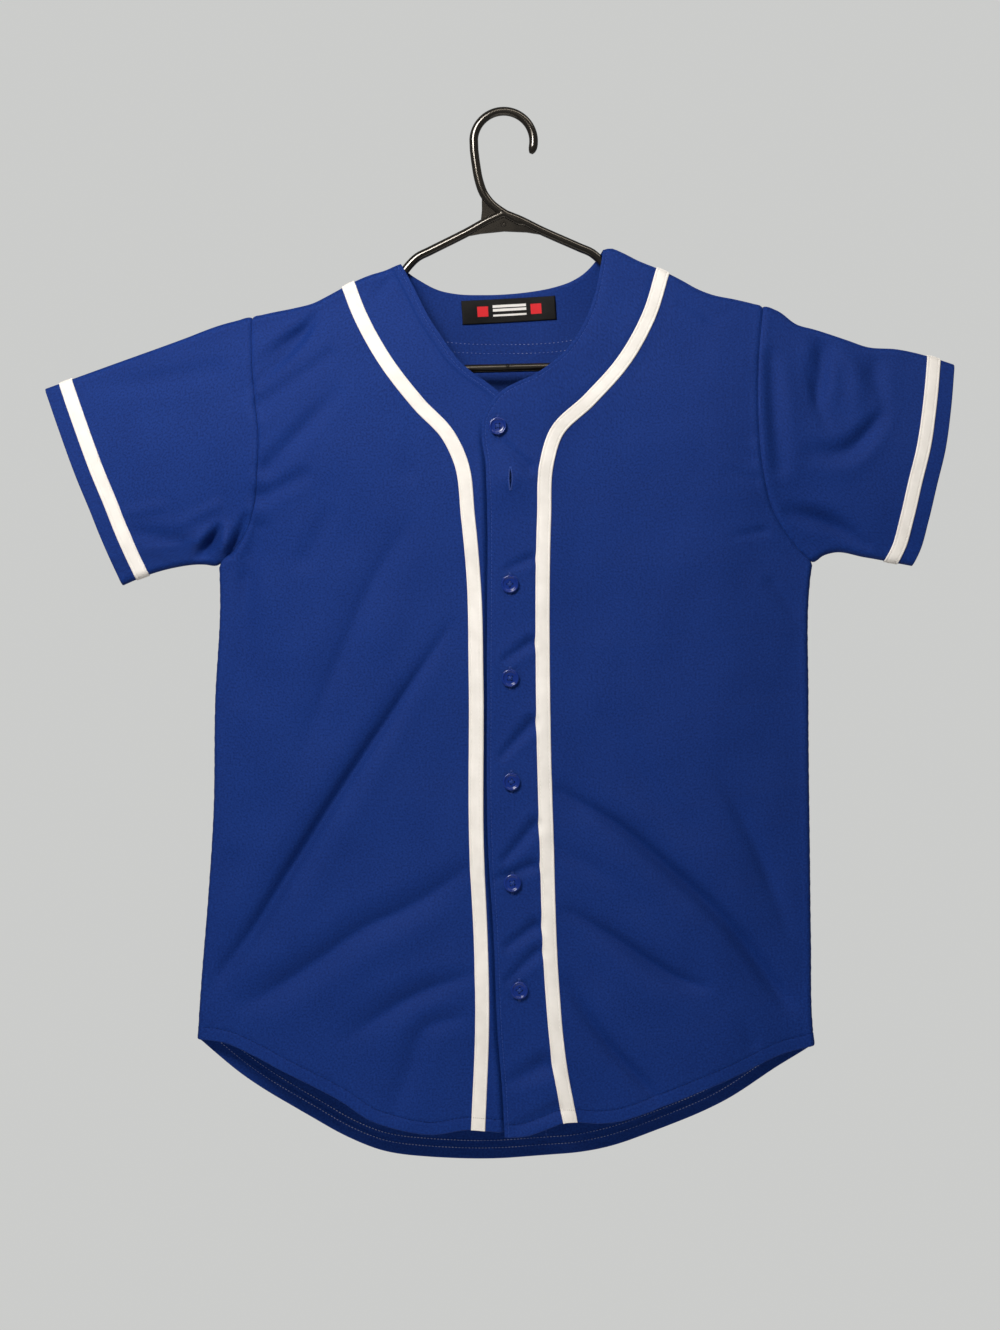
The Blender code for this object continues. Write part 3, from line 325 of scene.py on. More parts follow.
def spline(points, step=2.0):
    """Dense smooth line through the rows of a table."""
    rows = np.array(points, dtype=float)
    lengths = np.hypot(*(rows[1:, :2] - rows[:-1, :2]).T)
    knots = np.concatenate(([0.0], np.cumsum(lengths)))
    slopes = np.gradient(rows, knots, axis=0)
    out = [rows[:1]]
    for k, length in enumerate(lengths):
        count = int(math.ceil(length / step))
        t = (np.arange(1, count + 1) / count)[:, None]
        h00 = 2 * t**3 - 3 * t**2 + 1
        h10 = t**3 - 2 * t**2 + t
        h01 = -2 * t**3 + 3 * t**2
        h11 = t**3 - t**2
        out.append(h00 * rows[k] + h10 * length * slopes[k]
                   + h01 * rows[k + 1] + h11 * length * slopes[k + 1])
    return np.vstack(out)


def arc_length(line):
    """Distance run at every row of a flat line."""
    steps = np.hypot(*(line[1:, :2] - line[:-1, :2]).T)
    return np.concatenate(([0.0], np.cumsum(steps)))


def along(line, distance):
    """Points at distances along a line."""
    s = arc_length(line)
    distance = np.atleast_1d(np.asarray(distance, dtype=float))
    return np.stack([np.interp(distance, s, line[:, k])
                     for k in range(line.shape[1])], axis=1)


def length_of(line):
    return float(arc_length(line)[-1])


def run_of(line):
    """Distance run at every point of a line in space."""
    return np.concatenate([[0.0], np.cumsum(np.linalg.norm(np.diff(line, axis=0), axis=-1))])


def cut_at_level(line, level):
    """Split a line that runs up or down where it passes a height."""
    z = line[:, 1]
    k = int(np.argmax((z[:-1] - level) * (z[1:] - level) <= 0))
    share = (level - z[k]) / (z[k + 1] - z[k])
    point = line[k] + share * (line[k + 1] - line[k])
    return (np.vstack([line[:k + 1], point]), np.vstack([point, line[k + 1:]]))


def inset(line, amount):
    """Move a line sideways, to the right of its direction if positive."""
    tangent = np.gradient(line, axis=0)
    tangent /= np.linalg.norm(tangent, axis=1)[:, None]
    normal = np.stack([tangent[:, 1], -tangent[:, 0]], axis=1)
    return line + amount * normal


def extend(line, start, end):
    """Straight continuations at the two ends of a line."""
    first = line[0] - line[1]
    last = line[-1] - line[-2]
    rows = [line]
    if start:
        rows.insert(0, line[:1] + start * first / np.linalg.norm(first))
    if end:
        rows.append(line[-1:] + end * last / np.linalg.norm(last))
    return np.vstack(rows)


def nearest(points, line):
    """Distance to a line, row and share of the nearest point, and side."""
    a = line[:-1, :2]
    run = line[1:, :2] - a
    square = (run**2).sum(axis=1)
    distance = np.empty(len(points))
    place = np.empty(len(points))
    side = np.empty(len(points))
    for start in range(0, len(points), 4000):
        chunk = points[start:start + 4000]
        offset = chunk[:, None, :] - a[None, :, :]
        share = np.clip((offset * run).sum(axis=2) / square, 0.0, 1.0)
        gap = offset - share[:, :, None] * run
        size = np.sqrt((gap**2).sum(axis=2))
        k = size.argmin(axis=1)
        rows = np.arange(len(chunk))
        best = share[rows, k]
        cross = run[k, 0] * offset[rows, k, 1] - run[k, 1] * offset[rows, k, 0]
        at_end = ((k == 0) & (best <= 0)) | ((k == len(a) - 1) & (best >= 1))
        distance[start:start + 4000] = size[rows, k]
        place[start:start + 4000] = k + best
        side[start:start + 4000] = np.where(at_end, 0.0, np.sign(cross))
    return distance, place, side


def smooth(x):
    """Smooth step from 0 to 1."""
    x = np.clip(x, 0.0, 1.0)
    return x * x * (3.0 - 2.0 * x)


# Outline of the closed edges. The mid-plane of the cloth lies half a wall
# inside it.
HALF = CLOTH / 2
ridge_right = inset(spline(RIDGE_RIGHT), -HALF)
ridge_left = inset(spline(RIDGE_LEFT), HALF)
under_right = inset(spline(UNDERARM_RIGHT), HALF)
under_left = inset(spline(UNDERARM_LEFT), -HALF)
side_right = inset(spline(SIDE_RIGHT), -HALF)
side_left = inset(spline(SIDE_LEFT), HALF)
corner_right = np.array([side_right[0, 0], under_right[0, 1]])
corner_left = np.array([side_left[0, 0], under_left[0, 1]])
for pair, corner in (((under_right, side_right), corner_right),
                     ((under_left, side_left), corner_left)):
    for edge in pair:
        edge[0] = corner


def through(table, start, end):
    """Line through a table whose ends move onto two given points."""
    line = spline(table)
    s = (arc_length(line) / length_of(line))[:, None]
    return line + (1 - s) * (start - line[0]) + s * (end - line[-1])


armhole_right = through(ARMHOLE_RIGHT, along(ridge_right, SLEEVE_START_RIGHT)[0], corner_right)
armhole_left = through(ARMHOLE_LEFT, along(ridge_left, SLEEVE_START_LEFT)[0], corner_left)
cuff_right = through(CUFF_RIGHT, ridge_right[-1], under_right[-1])
cuff_left = through(CUFF_LEFT, ridge_left[-1], under_left[-1])
RUN_ON = 20.0
SIDE_RUN_ON = 110.0
CLOSED_EDGES = [(extend(ridge, 0, RUN_ON), turn) for ridge, turn in (
    (ridge_right, 1.0), (ridge_left, -1.0))]
CLOSED_EDGES += [
    (np.vstack([extend(under, 0, RUN_ON)[::-1], extend(side, 0, SIDE_RUN_ON)[1:]]), turn)
    for under, side, turn in ((under_right, side_right, 1.0), (under_left, side_left, -1.0))]


def inside_distance(points):
    """Distance inside the closed outline, negative outside."""
    total = None
    for line, turn in CLOSED_EDGES:
        distance, _, side = nearest(points, line)
        outside = (side * turn < 0) & (distance < OUTSIDE_REACH)
        distance = np.where(outside, -distance, distance)
        if total is None:
            total = distance
            continue
        blend = np.clip(1.0 - np.abs(total - distance) / CORNER_REACH, 0.0, 1.0)
        total = np.minimum(total, distance) - blend**2 * CORNER_DROP
    return total


def depth_limit(points):
    """Half depth of the hollow far from every edge."""
    x = np.abs(points[:, 0])
    limit = BODY_DEPTH + (SLEEVE_DEPTH - BODY_DEPTH) * smooth((x - SLEEVE_FROM) / SLEEVE_FADE)
    return limit + HEM_EXTRA * smooth((-points[:, 1] - HEM_FROM) / HEM_FADE)


def half_depth_squared(points):
    """Square of the half depth of the hollow, negative outside it."""
    d = inside_distance(points)
    limit = depth_limit(points)
    x = np.maximum(d - FOLD_RADIUS, 0.0) / OPENING_LENGTH
    opening = 1.0 - np.exp(-x * x / (x + OPENING_START))
    open_part = (FOLD_RADIUS + (limit - FOLD_RADIUS) * opening) ** 2
    arc = 2 * FOLD_RADIUS * d - d * d
    return np.where(d < FOLD_RADIUS, arc, open_part), d


def fold_field(points, folds, d):
    """Displacement towards the back along a set of folds."""
    total = np.zeros(len(points))
    for table in folds:
        line = spline(table, FOLD_STEP)
        reach = FOLD_REACH * line[:, 2].max()
        low = line[:, :2].min(axis=0) - reach
        high = line[:, :2].max(axis=0) + reach
        near = np.all((points > low) & (points < high), axis=1)
        if not near.any():
            continue
        distance, place, _ = nearest(points[near], line)
        rows = np.arange(len(line))
        width = np.interp(place, rows, line[:, 2])
        depth = np.interp(place, rows, line[:, 3])
        q = (distance / width) ** 2
        total[near] += depth * (1 - FOLD_RIM * q) * np.exp(-FOLD_FALL * q)
    return total * smooth(d / FOLD_FREE)


def placket_lift(points):
    """How far the upper front is raised off the lower one."""
    under_edge = np.interp(-points[:, 1], *UNDER_EDGE)
    lift = PLACKET_LIFT * smooth(1.0 - (points[:, 0] - under_edge - PLACKET_START) / PLACKET_FADE)
    x, z = BUTTONS[HIDDEN_BUTTON - 1]
    reach = (points[:, 0] - x) ** 2 + (points[:, 1] - z) ** 2
    shown_rim = RIM_LIFT * smooth((RIM_REACH - np.sqrt(reach)) / RIM_FADE)
    return lift + shown_rim + HIDDEN_BUTTON_LIFT * np.exp(
        -reach / (2 * HIDDEN_BUTTON_SPREAD**2))


# Materials

def node_group(name, inputs, outputs):
    """Empty node group. An input without a value takes a place on the cloth."""
    group = bpy.data.node_groups.new(name, "ShaderNodeTree")
    for label, value in inputs.items():
        kind = "NodeSocketVector" if value is None else "NodeSocketFloat"
        socket = group.interface.new_socket(name=label, in_out="INPUT", socket_type=kind)
        if value is not None:
            socket.default_value = value
    for label in outputs:
        group.interface.new_socket(name=label, in_out="OUTPUT", socket_type="NodeSocketFloat")
    return group, group.nodes.new("NodeGroupInput"), group.nodes.new("NodeGroupOutput")


def feed(tree, socket, value):
    """Give a socket a number, or a link from another node."""
    if isinstance(value, (int, float)):
        socket.default_value = value
    else:
        tree.links.new(value, socket)


def math_node(tree, operation, *values):
    node = tree.nodes.new("ShaderNodeMath")
    node.operation = operation
    for socket, value in zip(node.inputs, values):
        feed(tree, socket, value)
    return node.outputs[0]


def weighted(tree, parts, total=0.0):
    """Sum of values, each times its weight, over a base."""
    for value, weight in parts:
        total = math_node(tree, "ADD", math_node(tree, "MULTIPLY", value, weight), total)
    return total


def sine_of(tree, turns):
    return math_node(tree, "SINE", math_node(tree, "MULTIPLY", turns, 2 * math.pi))


def wave_of(tree, run, pitch):
    """Sine along a run, one wave for each pitch."""
    return sine_of(tree, math_node(tree, "DIVIDE", run, pitch))


def noise_of(tree, place, scale, detail):
    """Uneven value from 0 to 1."""
    node = tree.nodes.new("ShaderNodeTexNoise")
    feed(tree, node.inputs["Scale"], scale)
    feed(tree, node.inputs["Detail"], detail)
    tree.links.new(place, node.inputs["Vector"])
    return node.outputs[0]


def cloth_place(tree):
    """Flat place on the cloth, in metres."""
    node = tree.nodes.new("ShaderNodeUVMap")
    node.uv_map = "cloth"
    return node.outputs[0]


def split_of(tree, place):
    """The two flat directions of a place."""
    node = tree.nodes.new("ShaderNodeSeparateXYZ")
    tree.links.new(place, node.inputs[0])
    return node.outputs[0], node.outputs[1]


def knit_group():
    """Columns of small loops."""
    group, given, out = node_group(
        "knit", {"Place": None, "Column": 0.0009, "Row": 0.0007}, ("Height", "Tint"))
    place = given.outputs["Place"]
    across, up = split_of(group, place)
    column = wave_of(group, across, given.outputs["Column"])
    lean = math_node(group, "MULTIPLY", math_node(group, "ABSOLUTE", column), 0.5)
    row = sine_of(group, math_node(
        group, "ADD", math_node(group, "DIVIDE", up, given.outputs["Row"]), lean))
    height = weighted(group, ((column, 0.32), (row, 0.22)), 0.5)
    slow = noise_of(group, place, 26.0, 5.0)
    # Fine mottle in the colour: partly random yarn tone, partly painted glints of the fibres
    fine = noise_of(group, place, 640.0, 2.0)
    group.links.new(height, out.inputs["Height"])
    # Colour: slow and fine mottling, plus painted shade from the loop height, lighter on the loop
    # tops and darker in the hollows between them
    group.links.new(weighted(group, ((slow, 0.12), (fine, 0.80), (height, 0.08))),
                    out.inputs["Tint"])
    return group


def weave_group():
    """Ribs with cross threads, for braid and label."""
    group, given, out = node_group(
        "weave", {"Place": None, "Rib": 0.0008, "Cross": 0.0005}, ("Height", "Tint"))
    place = given.outputs["Place"]
    across, up = split_of(group, place)
    rib = wave_of(group, across, given.outputs["Rib"])
    cross = wave_of(group, up, given.outputs["Cross"])
    both = math_node(group, "MULTIPLY", rib, cross)
    group.links.new(weighted(group, ((both, 0.3), (cross, 0.2)), 0.5), out.inputs["Height"])
    group.links.new(noise_of(group, place, 60.0, 4.0), out.inputs["Tint"])
    return group


def grain_group():
    """Fine moulded grain and rubbed streaks for plastic."""
    group, given, out = node_group("moulded_grain", {"Scale": 900.0}, ("Height", "Rubbed"))
    place = group.nodes.new("ShaderNodeTexCoord").outputs["Object"]
    group.links.new(noise_of(group, place, given.outputs["Scale"], 2.0), out.inputs["Height"])
    group.links.new(noise_of(group, place, 38.0, 6.0), out.inputs["Rubbed"])
    return group


knit = knit_group()
weave = weave_group()
grain = grain_group()


def ramp(tree, value, tones):
    """Colour between two tones by a value from 0 to 1."""
    node = tree.nodes.new("ShaderNodeValToRGB")
    for element, position, tone in zip(node.color_ramp.elements, (0.35, 0.65), tones):
        element.position = position
        element.color = (*tone, 1.0)
    tree.links.new(value, node.inputs[0])
    return node.outputs[0]


def spread_value(tree, value, low, high):
    """A value from 0 to 1 between two limits."""
    node = tree.nodes.new("ShaderNodeMapRange")
    node.inputs["To Min"].default_value = low
    node.inputs["To Max"].default_value = high
    tree.links.new(value, node.inputs["Value"])
    return node.outputs[0]


def material(name, sockets):
    """Material, its nodes and its shader."""
    made = bpy.data.materials.new(name)
    made.use_nodes = True
    shader = made.node_tree.nodes["Principled BSDF"]
    for label, value in sockets.items():
        shader.inputs[label].default_value = value
    return made, made.node_tree, shader


def patterned(name, group, values, sockets, tones, relief, rough, tint="Tint", shine="Height"):
    """Material whose colour, roughness and relief follow a node group."""
    made, tree, shader = material(name, sockets)
    node = tree.nodes.new("ShaderNodeGroup")
    node.node_tree = group
    for label, value in values.items():
        node.inputs[label].default_value = value
    if "Place" in node.inputs:
        tree.links.new(cloth_place(tree), node.inputs["Place"])
    tree.links.new(ramp(tree, node.outputs[tint], tones), shader.inputs["Base Color"])
    tree.links.new(spread_value(tree, node.outputs[shine], *rough), shader.inputs["Roughness"])
    bump = tree.nodes.new("ShaderNodeBump")
    bump.inputs["Distance"].default_value = relief
    bump.inputs["Strength"].default_value = 1.0
    tree.links.new(node.outputs["Height"], bump.inputs["Height"])
    tree.links.new(bump.outputs[0], shader.inputs["Normal"])
    return made


def plastic(name, scale, *look):
    """Moulded plastic or spun thread."""
    return patterned(name, grain, {"Scale": scale}, *look, tint="Rubbed", shine="Rubbed")


LABEL_CELL = 0.0003
LABEL_MARKS = (  # colour, then middle and half size of each bar
    ((0.55, 0.018, 0.024), (((-21.4, 0.0), (4.4, 4.2)), ((21.8, 0.0), (4.4, 4.2)))),
    ((0.66, 0.64, 0.62), (((0.4, 3.6), (13.6, 1.0)), ((0.4, 0.6), (13.6, 1.0)),
                          ((0.4, -3.6), (13.6, 0.8)))),
)


def box_mask(tree, place, middle, reach):
    """1 inside a small rectangle of the label."""
    inside = [math_node(tree, "LESS_THAN", math_node(
        tree, "ABSOLUTE", math_node(tree, "SUBTRACT", value, centre * MM)), size * MM)
        for value, centre, size in zip(place, middle, reach)]
    return math_node(tree, "MULTIPLY", *inside)


def weave_marks(made):
    """Plain coloured bars woven into the label."""
    tree = made.node_tree
    shader = tree.nodes["Principled BSDF"]
    cell = tree.nodes.new("ShaderNodeVectorMath")
    cell.operation = "SNAP"
    cell.inputs[1].default_value = (LABEL_CELL,) * 3
    tree.links.new(cloth_place(tree), cell.inputs[0])
    place = split_of(tree, cell.outputs[0])
    colour = shader.inputs["Base Color"].links[0].from_socket
    for tone, bars in LABEL_MARKS:
        masks = [box_mask(tree, place, middle, reach) for middle, reach in bars]
        mask = masks[0]
        for other in masks[1:]:
            mask = math_node(tree, "MAXIMUM", mask, other)
        mix = tree.nodes.new("ShaderNodeMix")
        mix.data_type = "RGBA"
        tree.links.new(mask, mix.inputs[0])
        tree.links.new(colour, mix.inputs[6])
        mix.inputs[7].default_value = (*tone, 1.0)
        colour = mix.outputs[2]
    tree.links.new(colour, shader.inputs["Base Color"])


cloth_material = patterned(
    "royal_blue_knit", knit, {"Column": 0.0010, "Row": 0.0008},
    {"Sheen Weight": 0.012, "Sheen Roughness": 0.35, "Specular IOR Level": 0.16},
    ((0.0011, 0.0155, 0.117), (0.0048, 0.0312, 0.190)), 0.00016, (0.60, 0.74))
braid_material = patterned(
    "warm_white_braid", weave, {"Rib": 0.0009, "Cross": 0.0006},
    {"Sheen Weight": 0.05, "Sheen Roughness": 0.5, "Specular IOR Level": 0.25},
    ((0.72, 0.685, 0.645), (0.79, 0.755, 0.715)), 0.0001, (0.6, 0.75))
label_material = patterned(
    "black_woven_label", weave, {"Rib": 0.0006, "Cross": 0.0004}, {"Specular IOR Level": 0.14},
    ((0.0025, 0.0023, 0.0023), (0.006, 0.0055, 0.0055)), 0.00008, (0.5, 0.65))
weave_marks(label_material)
button_material = plastic(
    "blue_button", 700.0,
    {"Coat Weight": 0.5, "Coat Roughness": 0.06, "Specular IOR Level": 0.3},
    ((0.003, 0.018, 0.15), (0.005, 0.025, 0.19)), 0.00001, (0.16, 0.26))
hanger_material = plastic(
    "black_hanger", 900.0,
    {"Coat Weight": 1.0, "Coat Roughness": 0.13, "Specular IOR Level": 0.6,
     "Specular Tint": (1.0, 0.86, 0.68, 1.0)},
    ((0.0025, 0.0021, 0.0018), (0.008, 0.0065, 0.005)), 0.0000004, (0.15, 0.24))

THREADS = (  # name, darker and lighter colour, specular level, sheen, roughness
    ("blue_thread", (0.010, 0.040, 0.22), (0.016, 0.055, 0.27), 0.3, 0.05, (0.42, 0.5)),
    ("white_thread", (0.76, 0.72, 0.67), (0.85, 0.81, 0.77), 0.4, 0.0, (0.45, 0.55)),
    ("dark_blue_thread", (0.0012, 0.010, 0.070), (0.0020, 0.014, 0.095), 0.1, 0.0, (0.5, 0.6)),
    ("tan_thread", (0.20, 0.16, 0.13), (0.30, 0.25, 0.21), 0.2, 0.0, (0.5, 0.6)),
    ("pale_blue_thread", (0.07, 0.11, 0.30), (0.30, 0.33, 0.48), 0.4, 0.0, (0.45, 0.55)),
)
THREAD_GRAIN = 2400.0
THREAD_RELIEF = 0.00005
thread_materials = {
    name: plastic(name, THREAD_GRAIN, {"Specular IOR Level": level, "Sheen Weight": sheen},
                  (low, high), THREAD_RELIEF, rough)
    for name, low, high, level, sheen, rough in THREADS}


# Fine relief of the cloth: distance from the edge, half width and height of each form,
# and a pucker's wave length

EDGE_ROUND = 0.75
EDGE_GROOVE = (3.2, 0.55, -0.32)
EDGE_PUCKER = (3.2, 3.5, 0.10, 6.0)
HEM_GROOVE = (HEM_STITCH, 0.6, -0.40)
HEM_PUCKER = (8.0, 6.0, 0.22, 9.0)
SEAM_GROOVE = (0.0, 1.2, -0.8)
SEAM_RIDGE = (3.6, 1.8, 0.26)
SEAM_PUCKER = (0.0, 7.0, 0.20, 8.5)
ARMHOLE_GROOVE = (0.0, 1.1, -0.8)
ARMHOLE_RIDGE = (5.0, 3.4, 0.5)
ARMHOLE_PUCKER = (0.0, 8.0, 0.22, 8.0)
CUFF_PUCKER = (17.6, 9.0, 0.12, 7.0)
FREE_ROWS = np.array([0.0, 0.12, 0.4, 0.8, 1.4, 2.2, 2.8, 3.2, 3.6, 4.2, 5.2, 7.0])
HEM_ROWS = np.array([0.0, 0.12, 0.4, 0.8, 1.6, 3.0, 5.0, 7.5, 9.2, 9.9, 10.6, 11.5,
                     13.0, 15.0])
FOLD_ROWS = np.array([0.0, 0.15, 0.5, 1.1, 2.0, 3.2, 4.8, 6.8, 9.0, 12.0, 16.0])


def edge_place(points, line):
    """Distance to a line and the distance run along it, for puckers."""
    distance, place, _ = nearest(points.reshape(-1, 2), line)
    run = np.interp(place, np.arange(len(line)), arc_length(line))
    return (distance.reshape(points.shape[:-1]), run.reshape(points.shape[:-1]))


def rounding(distance, reach=EDGE_ROUND):
    """Share of the thickness near a free edge, folded round."""
    x = 1.0 - np.clip(distance / reach, 0.0, 1.0)
    return np.sqrt(np.maximum(1.0 - x * x, 0.02))


def form(distance, shape):
    """Height of a groove or ridge that runs along an edge."""
    middle, width, height = shape
    return height * np.exp(-((distance - middle) / width) ** 2)


def puckers(run, seed, pitch):
    """Uneven waves along a seam, from -1 to 1."""
    wave = np.sin(run * 2 * math.pi / pitch + 1.7 * seed)
    wave += 0.7 * np.sin(run * 2 * math.pi / (pitch * 1.63) + 2.9 * seed)
    wave += 0.5 * np.sin(run * 2 * math.pi / (pitch * 0.61) + 4.1 * seed)
    return wave / 2.2


def puckered(distance, run, shape, seed):
    """Puckers that fade away from an edge."""
    return form(distance, shape[:3]) * puckers(run, seed, shape[3])


RIPPLES = (  # wave length, direction in degrees, phase, height
    (173.0, 12.0, 0.4, 0.55), (121.0, 74.0, 2.1, 0.40), (88.0, 141.0, 4.0, 0.30),
    (61.0, 38.0, 1.2, 0.20), (47.0, 103.0, 5.1, 0.14), (33.0, 160.0, 3.3, 0.08),
)


def ripples(points):
    """Slow unevenness of hanging cloth."""
    total = np.zeros(points.shape[:-1])
    for length, angle, phase, height in RIPPLES:
        direction = math.radians(angle)
        run = points[..., 0] * math.cos(direction) + points[..., 1] * math.sin(direction)
        total += height * np.sin(run * 2 * math.pi / length + phase)
    return total


# Laying flat grids on the hanging surface

def surface(points, side, lifted=False, gap=0.06, ripple=1.0):
    """Middle plane of the cloth for points seen from the front."""
    flat = points.reshape(-1, 2)
    q, d = half_depth_squared(flat)
    half = side * np.sqrt(np.maximum(q, 0.0))
    folds = FOLDS_BACK + CREASES_BACK
    if side < 0:
        folds = FOLDS_FRONT + CREASES_FRONT + (() if lifted else (UNDER_PLACKET,))
    moved = -side * fold_field(flat, folds, d)
    moved = moved + ripple * ripples(flat) * smooth(d / RIPPLE_FREE)
    if lifted:
        moved = moved - placket_lift(flat)
    return np.stack([flat[:, 0], half + side * gap + moved, flat[:, 1]],
                    axis=1).reshape(points.shape[:-1] + (3,))


def slope(place, axis):
    """Direction along one axis of a grid with uneven spacing."""
    place = np.moveaxis(place, axis, 0)
    ahead = place[1:] - place[:-1]
    length = np.maximum(np.linalg.norm(ahead, axis=-1, keepdims=True), 1e-6)
    unit = ahead / length
    out = np.empty_like(place)
    out[1:-1] = (unit[1:] * length[:-1] + unit[:-1] * length[1:]) / (length[1:] + length[:-1])
    out[0] = 2 * unit[0] - out[1]
    out[-1] = 2 * unit[-1] - out[-2]
    return np.moveaxis(out, 0, axis)


def normals(place, side, closed=False):
    """Unit normals of a grid, towards the front or the back."""
    if closed:
        ring = np.concatenate([place[-2:], place, place[:2]])
        cross = np.cross(slope(ring, 0), slope(ring, 1))[2:-2]
    else:
        cross = np.cross(slope(place, 0), slope(place, 1))
    cross /= np.maximum(np.linalg.norm(cross, axis=-1, keepdims=True), 1e-9)
    rows = max(len(place) // 2, 1) if closed else len(place)
    if cross[:rows, ..., 1].sum() * side < 0:
        cross = -cross
    return cross


def running_lengths(place, points):
    """Flat place of the cloth: seen place plus what runs away in depth."""
    def extra(axis):
        full = np.linalg.norm(np.diff(place, axis=axis), axis=-1)
        flat = np.linalg.norm(np.diff(points, axis=axis), axis=-1)
        run = np.cumsum(np.maximum(full - flat, 0.0), axis=axis)
        return np.concatenate([np.zeros_like(run.take([0], axis)), run], axis=axis)
    toward = np.sign(points[:, -1:, 0] - points[:, :1, 0])
    return np.stack([points[..., 0] + toward * extra(1), points[..., 1] + extra(0)], axis=-1)


# Meshes

def added(item):
    bpy.context.scene.collection.objects.link(item)
    return item


def plain_object(name, vertices, faces):
    """Object without a material, not a piece yet."""
    mesh = bpy.data.meshes.new(name)
    mesh.from_pydata((np.asarray(vertices) * MM).tolist(), [], faces)
    return added(bpy.data.objects.new(name, mesh))


def make_object(name, vertices, faces, material, slot_name=None):
    """Smooth piece of the scene."""
    piece = plain_object(name, vertices, faces)
    piece.data.update()
    piece.data.shade_smooth()
    piece.data.materials.append(material)
    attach(piece, "root")
    return piece


def finish_solid(mesh, material, angle):
    """Smooth shading with crisp edges, and one material."""
    mesh.shade_smooth()
    mesh.set_sharp_from_angle(angle=math.radians(angle))
    mesh.materials.clear()
    mesh.materials.append(material)


def combine(target, tool, operation):
    """Boolean of two solids. The second one is removed."""
    step = target.modifiers.new("cut", "BOOLEAN")
    step.operation = operation
    step.solver = "EXACT"
    step.object = tool
    graph = bpy.context.evaluated_depsgraph_get()
    mesh = bpy.data.meshes.new_from_object(target.evaluated_get(graph))
    target.modifiers.clear()
    target.data = mesh
    bpy.data.objects.remove(tool)


def signed_volume(vertices, faces):
    """Six times the volume, negative if inside out."""
    total = 0.0
    for size in set(map(len, faces)):
        chosen = vertices[np.array([f for f in faces if len(f) == size])]
        for k in range(1, size - 1):
            total += (chosen[:, 0] * np.cross(chosen[:, k], chosen[:, k + 1])).sum()
    return total


def facing_out(vertices, faces):
    """Points and faces, with the faces turned to the outside."""
    if signed_volume(vertices, faces) < 0:
        faces = [face[::-1] for face in faces]
    return vertices, faces


def band_faces(rings, sides, first=0, closed=False):
    """Faces between rings of points, from each ring to the next."""
    return [(first + i * sides + k, first + i * sides + (k + 1) % sides,
             first + (i + 1) % rings * sides + (k + 1) % sides,
             first + (i + 1) % rings * sides + k)
            for i in range(rings if closed else rings - 1) for k in range(sides)]


def slab(name, place, normal, outer, inner, flat, material, slot_name, closed=False):
    """Cloth between an outer and an inner layer over a grid of points."""
    rows, columns = place.shape[:2]
    vertices = np.concatenate([
        (place + normal * np.broadcast_to(rise, (rows, columns))[..., None]).reshape(-1, 3)
        for rise in (outer, inner)])
    # Every row is a ring: out over the outer layer and back under the inner one
    ring_column = np.concatenate([np.arange(columns), np.arange(columns)[::-1]])
    ring_layer = np.repeat([0, 1], columns)
    spans = rows if closed else rows - 1
    i, k = np.meshgrid(np.arange(spans), np.arange(2 * columns), indexing="ij")
    row = i.reshape(-1, 1) + np.array([0, 0, 1, 1])
    step = (k.reshape(-1, 1) + np.array([0, 1, 1, 0])) % (2 * columns)
    if not closed:
        j = np.arange(columns - 1)[:, None]
        cap = np.concatenate([j, j + 1, 2 * columns - 2 - j, 2 * columns - 1 - j], axis=1)
        row = np.concatenate([row, np.zeros_like(cap), np.full_like(cap, rows - 1)])
        step = np.concatenate([step, cap[:, ::-1], cap])
    column = ring_column[step]
    faces = (ring_layer[step] * rows + row % rows) * columns + column
    corner = vertices[faces]
    volume = sum((corner[:, 0] * np.cross(corner[:, k], corner[:, k + 1])).sum() for k in (1, 2))
    if volume < 0:
        faces, row, column = faces[:, ::-1], row[:, ::-1], column[:, ::-1]
    piece = make_object(name, vertices, faces.tolist(), material, slot_name)
    if closed:
        flat = np.concatenate([flat, flat[:1]])
        around = np.linalg.norm(place[0] - place[-1], axis=-1)
        flat[-1, :, 1] = flat[-2, :, 1] + around
    layer_uv = piece.data.uv_layers.new(name="cloth")
    layer_uv.data.foreach_set("uv", (flat[row, column] * MM).ravel())
    return piece


# Spacing of the grid lines

LOW_ROWS = 150
HIGH_ROWS = 84
INNER_COLUMNS = 20
BAND_COLUMNS = 3
OUTER_COLUMNS = 60


def spread(length, middle):
    """Places along a length, close together at both ends."""
    inner = np.linspace(FOLD_ROWS[-1], length - FOLD_ROWS[-1], middle + 2)[1:-1]
    return np.concatenate([FOLD_ROWS, inner, length - FOLD_ROWS[::-1]])


def even_low(line):
    """Rows from the hem up to the underarm."""
    step = (length_of(line) - HEM_ROWS[-1]) / LOW_ROWS
    above = HEM_ROWS[-1] + step * np.arange(1, LOW_ROWS + 1)
    return along(line, np.concatenate([HEM_ROWS, above]))


def even_high(line):
    """Rows from the underarm up to the shoulder."""
    length = length_of(line)
    return along(line, np.concatenate([
        np.linspace(0.0, length - FOLD_ROWS[-1], HIGH_ROWS + 1),
        length - FOLD_ROWS[-2::-1]]))


def edge_rows(low, high):
    """Points of every row on one grid line, from the hem to the shoulder."""
    return np.vstack([even_low(low)[:-1], even_high(high)])


side_rows = edge_rows(side_right[::-1], armhole_right[::-1])
ROWS = len(side_rows)
ROW_SHARE = arc_length(side_rows) / length_of(side_rows)


def patch(left, right, bottom, top, shares):
    """Grid between two columns of points, following two end curves."""
    grid = left[:, None] + shares[:, :, None] * (right - left)[:, None]
    for weight, curve, row in ((1 - ROW_SHARE, bottom, 0), (ROW_SHARE, top, -1)):
        share = shares[row]
        chord = left[row] + share[:, None] * (right[row] - left[row])
        bend = along(curve, share * length_of(curve)) - chord
        for k in range(ROWS):
            moved = np.stack([np.interp(shares[k], share, bend[:, c])
                              for c in range(2)], axis=1)
            grid[k] += weight[k] * moved
    return grid


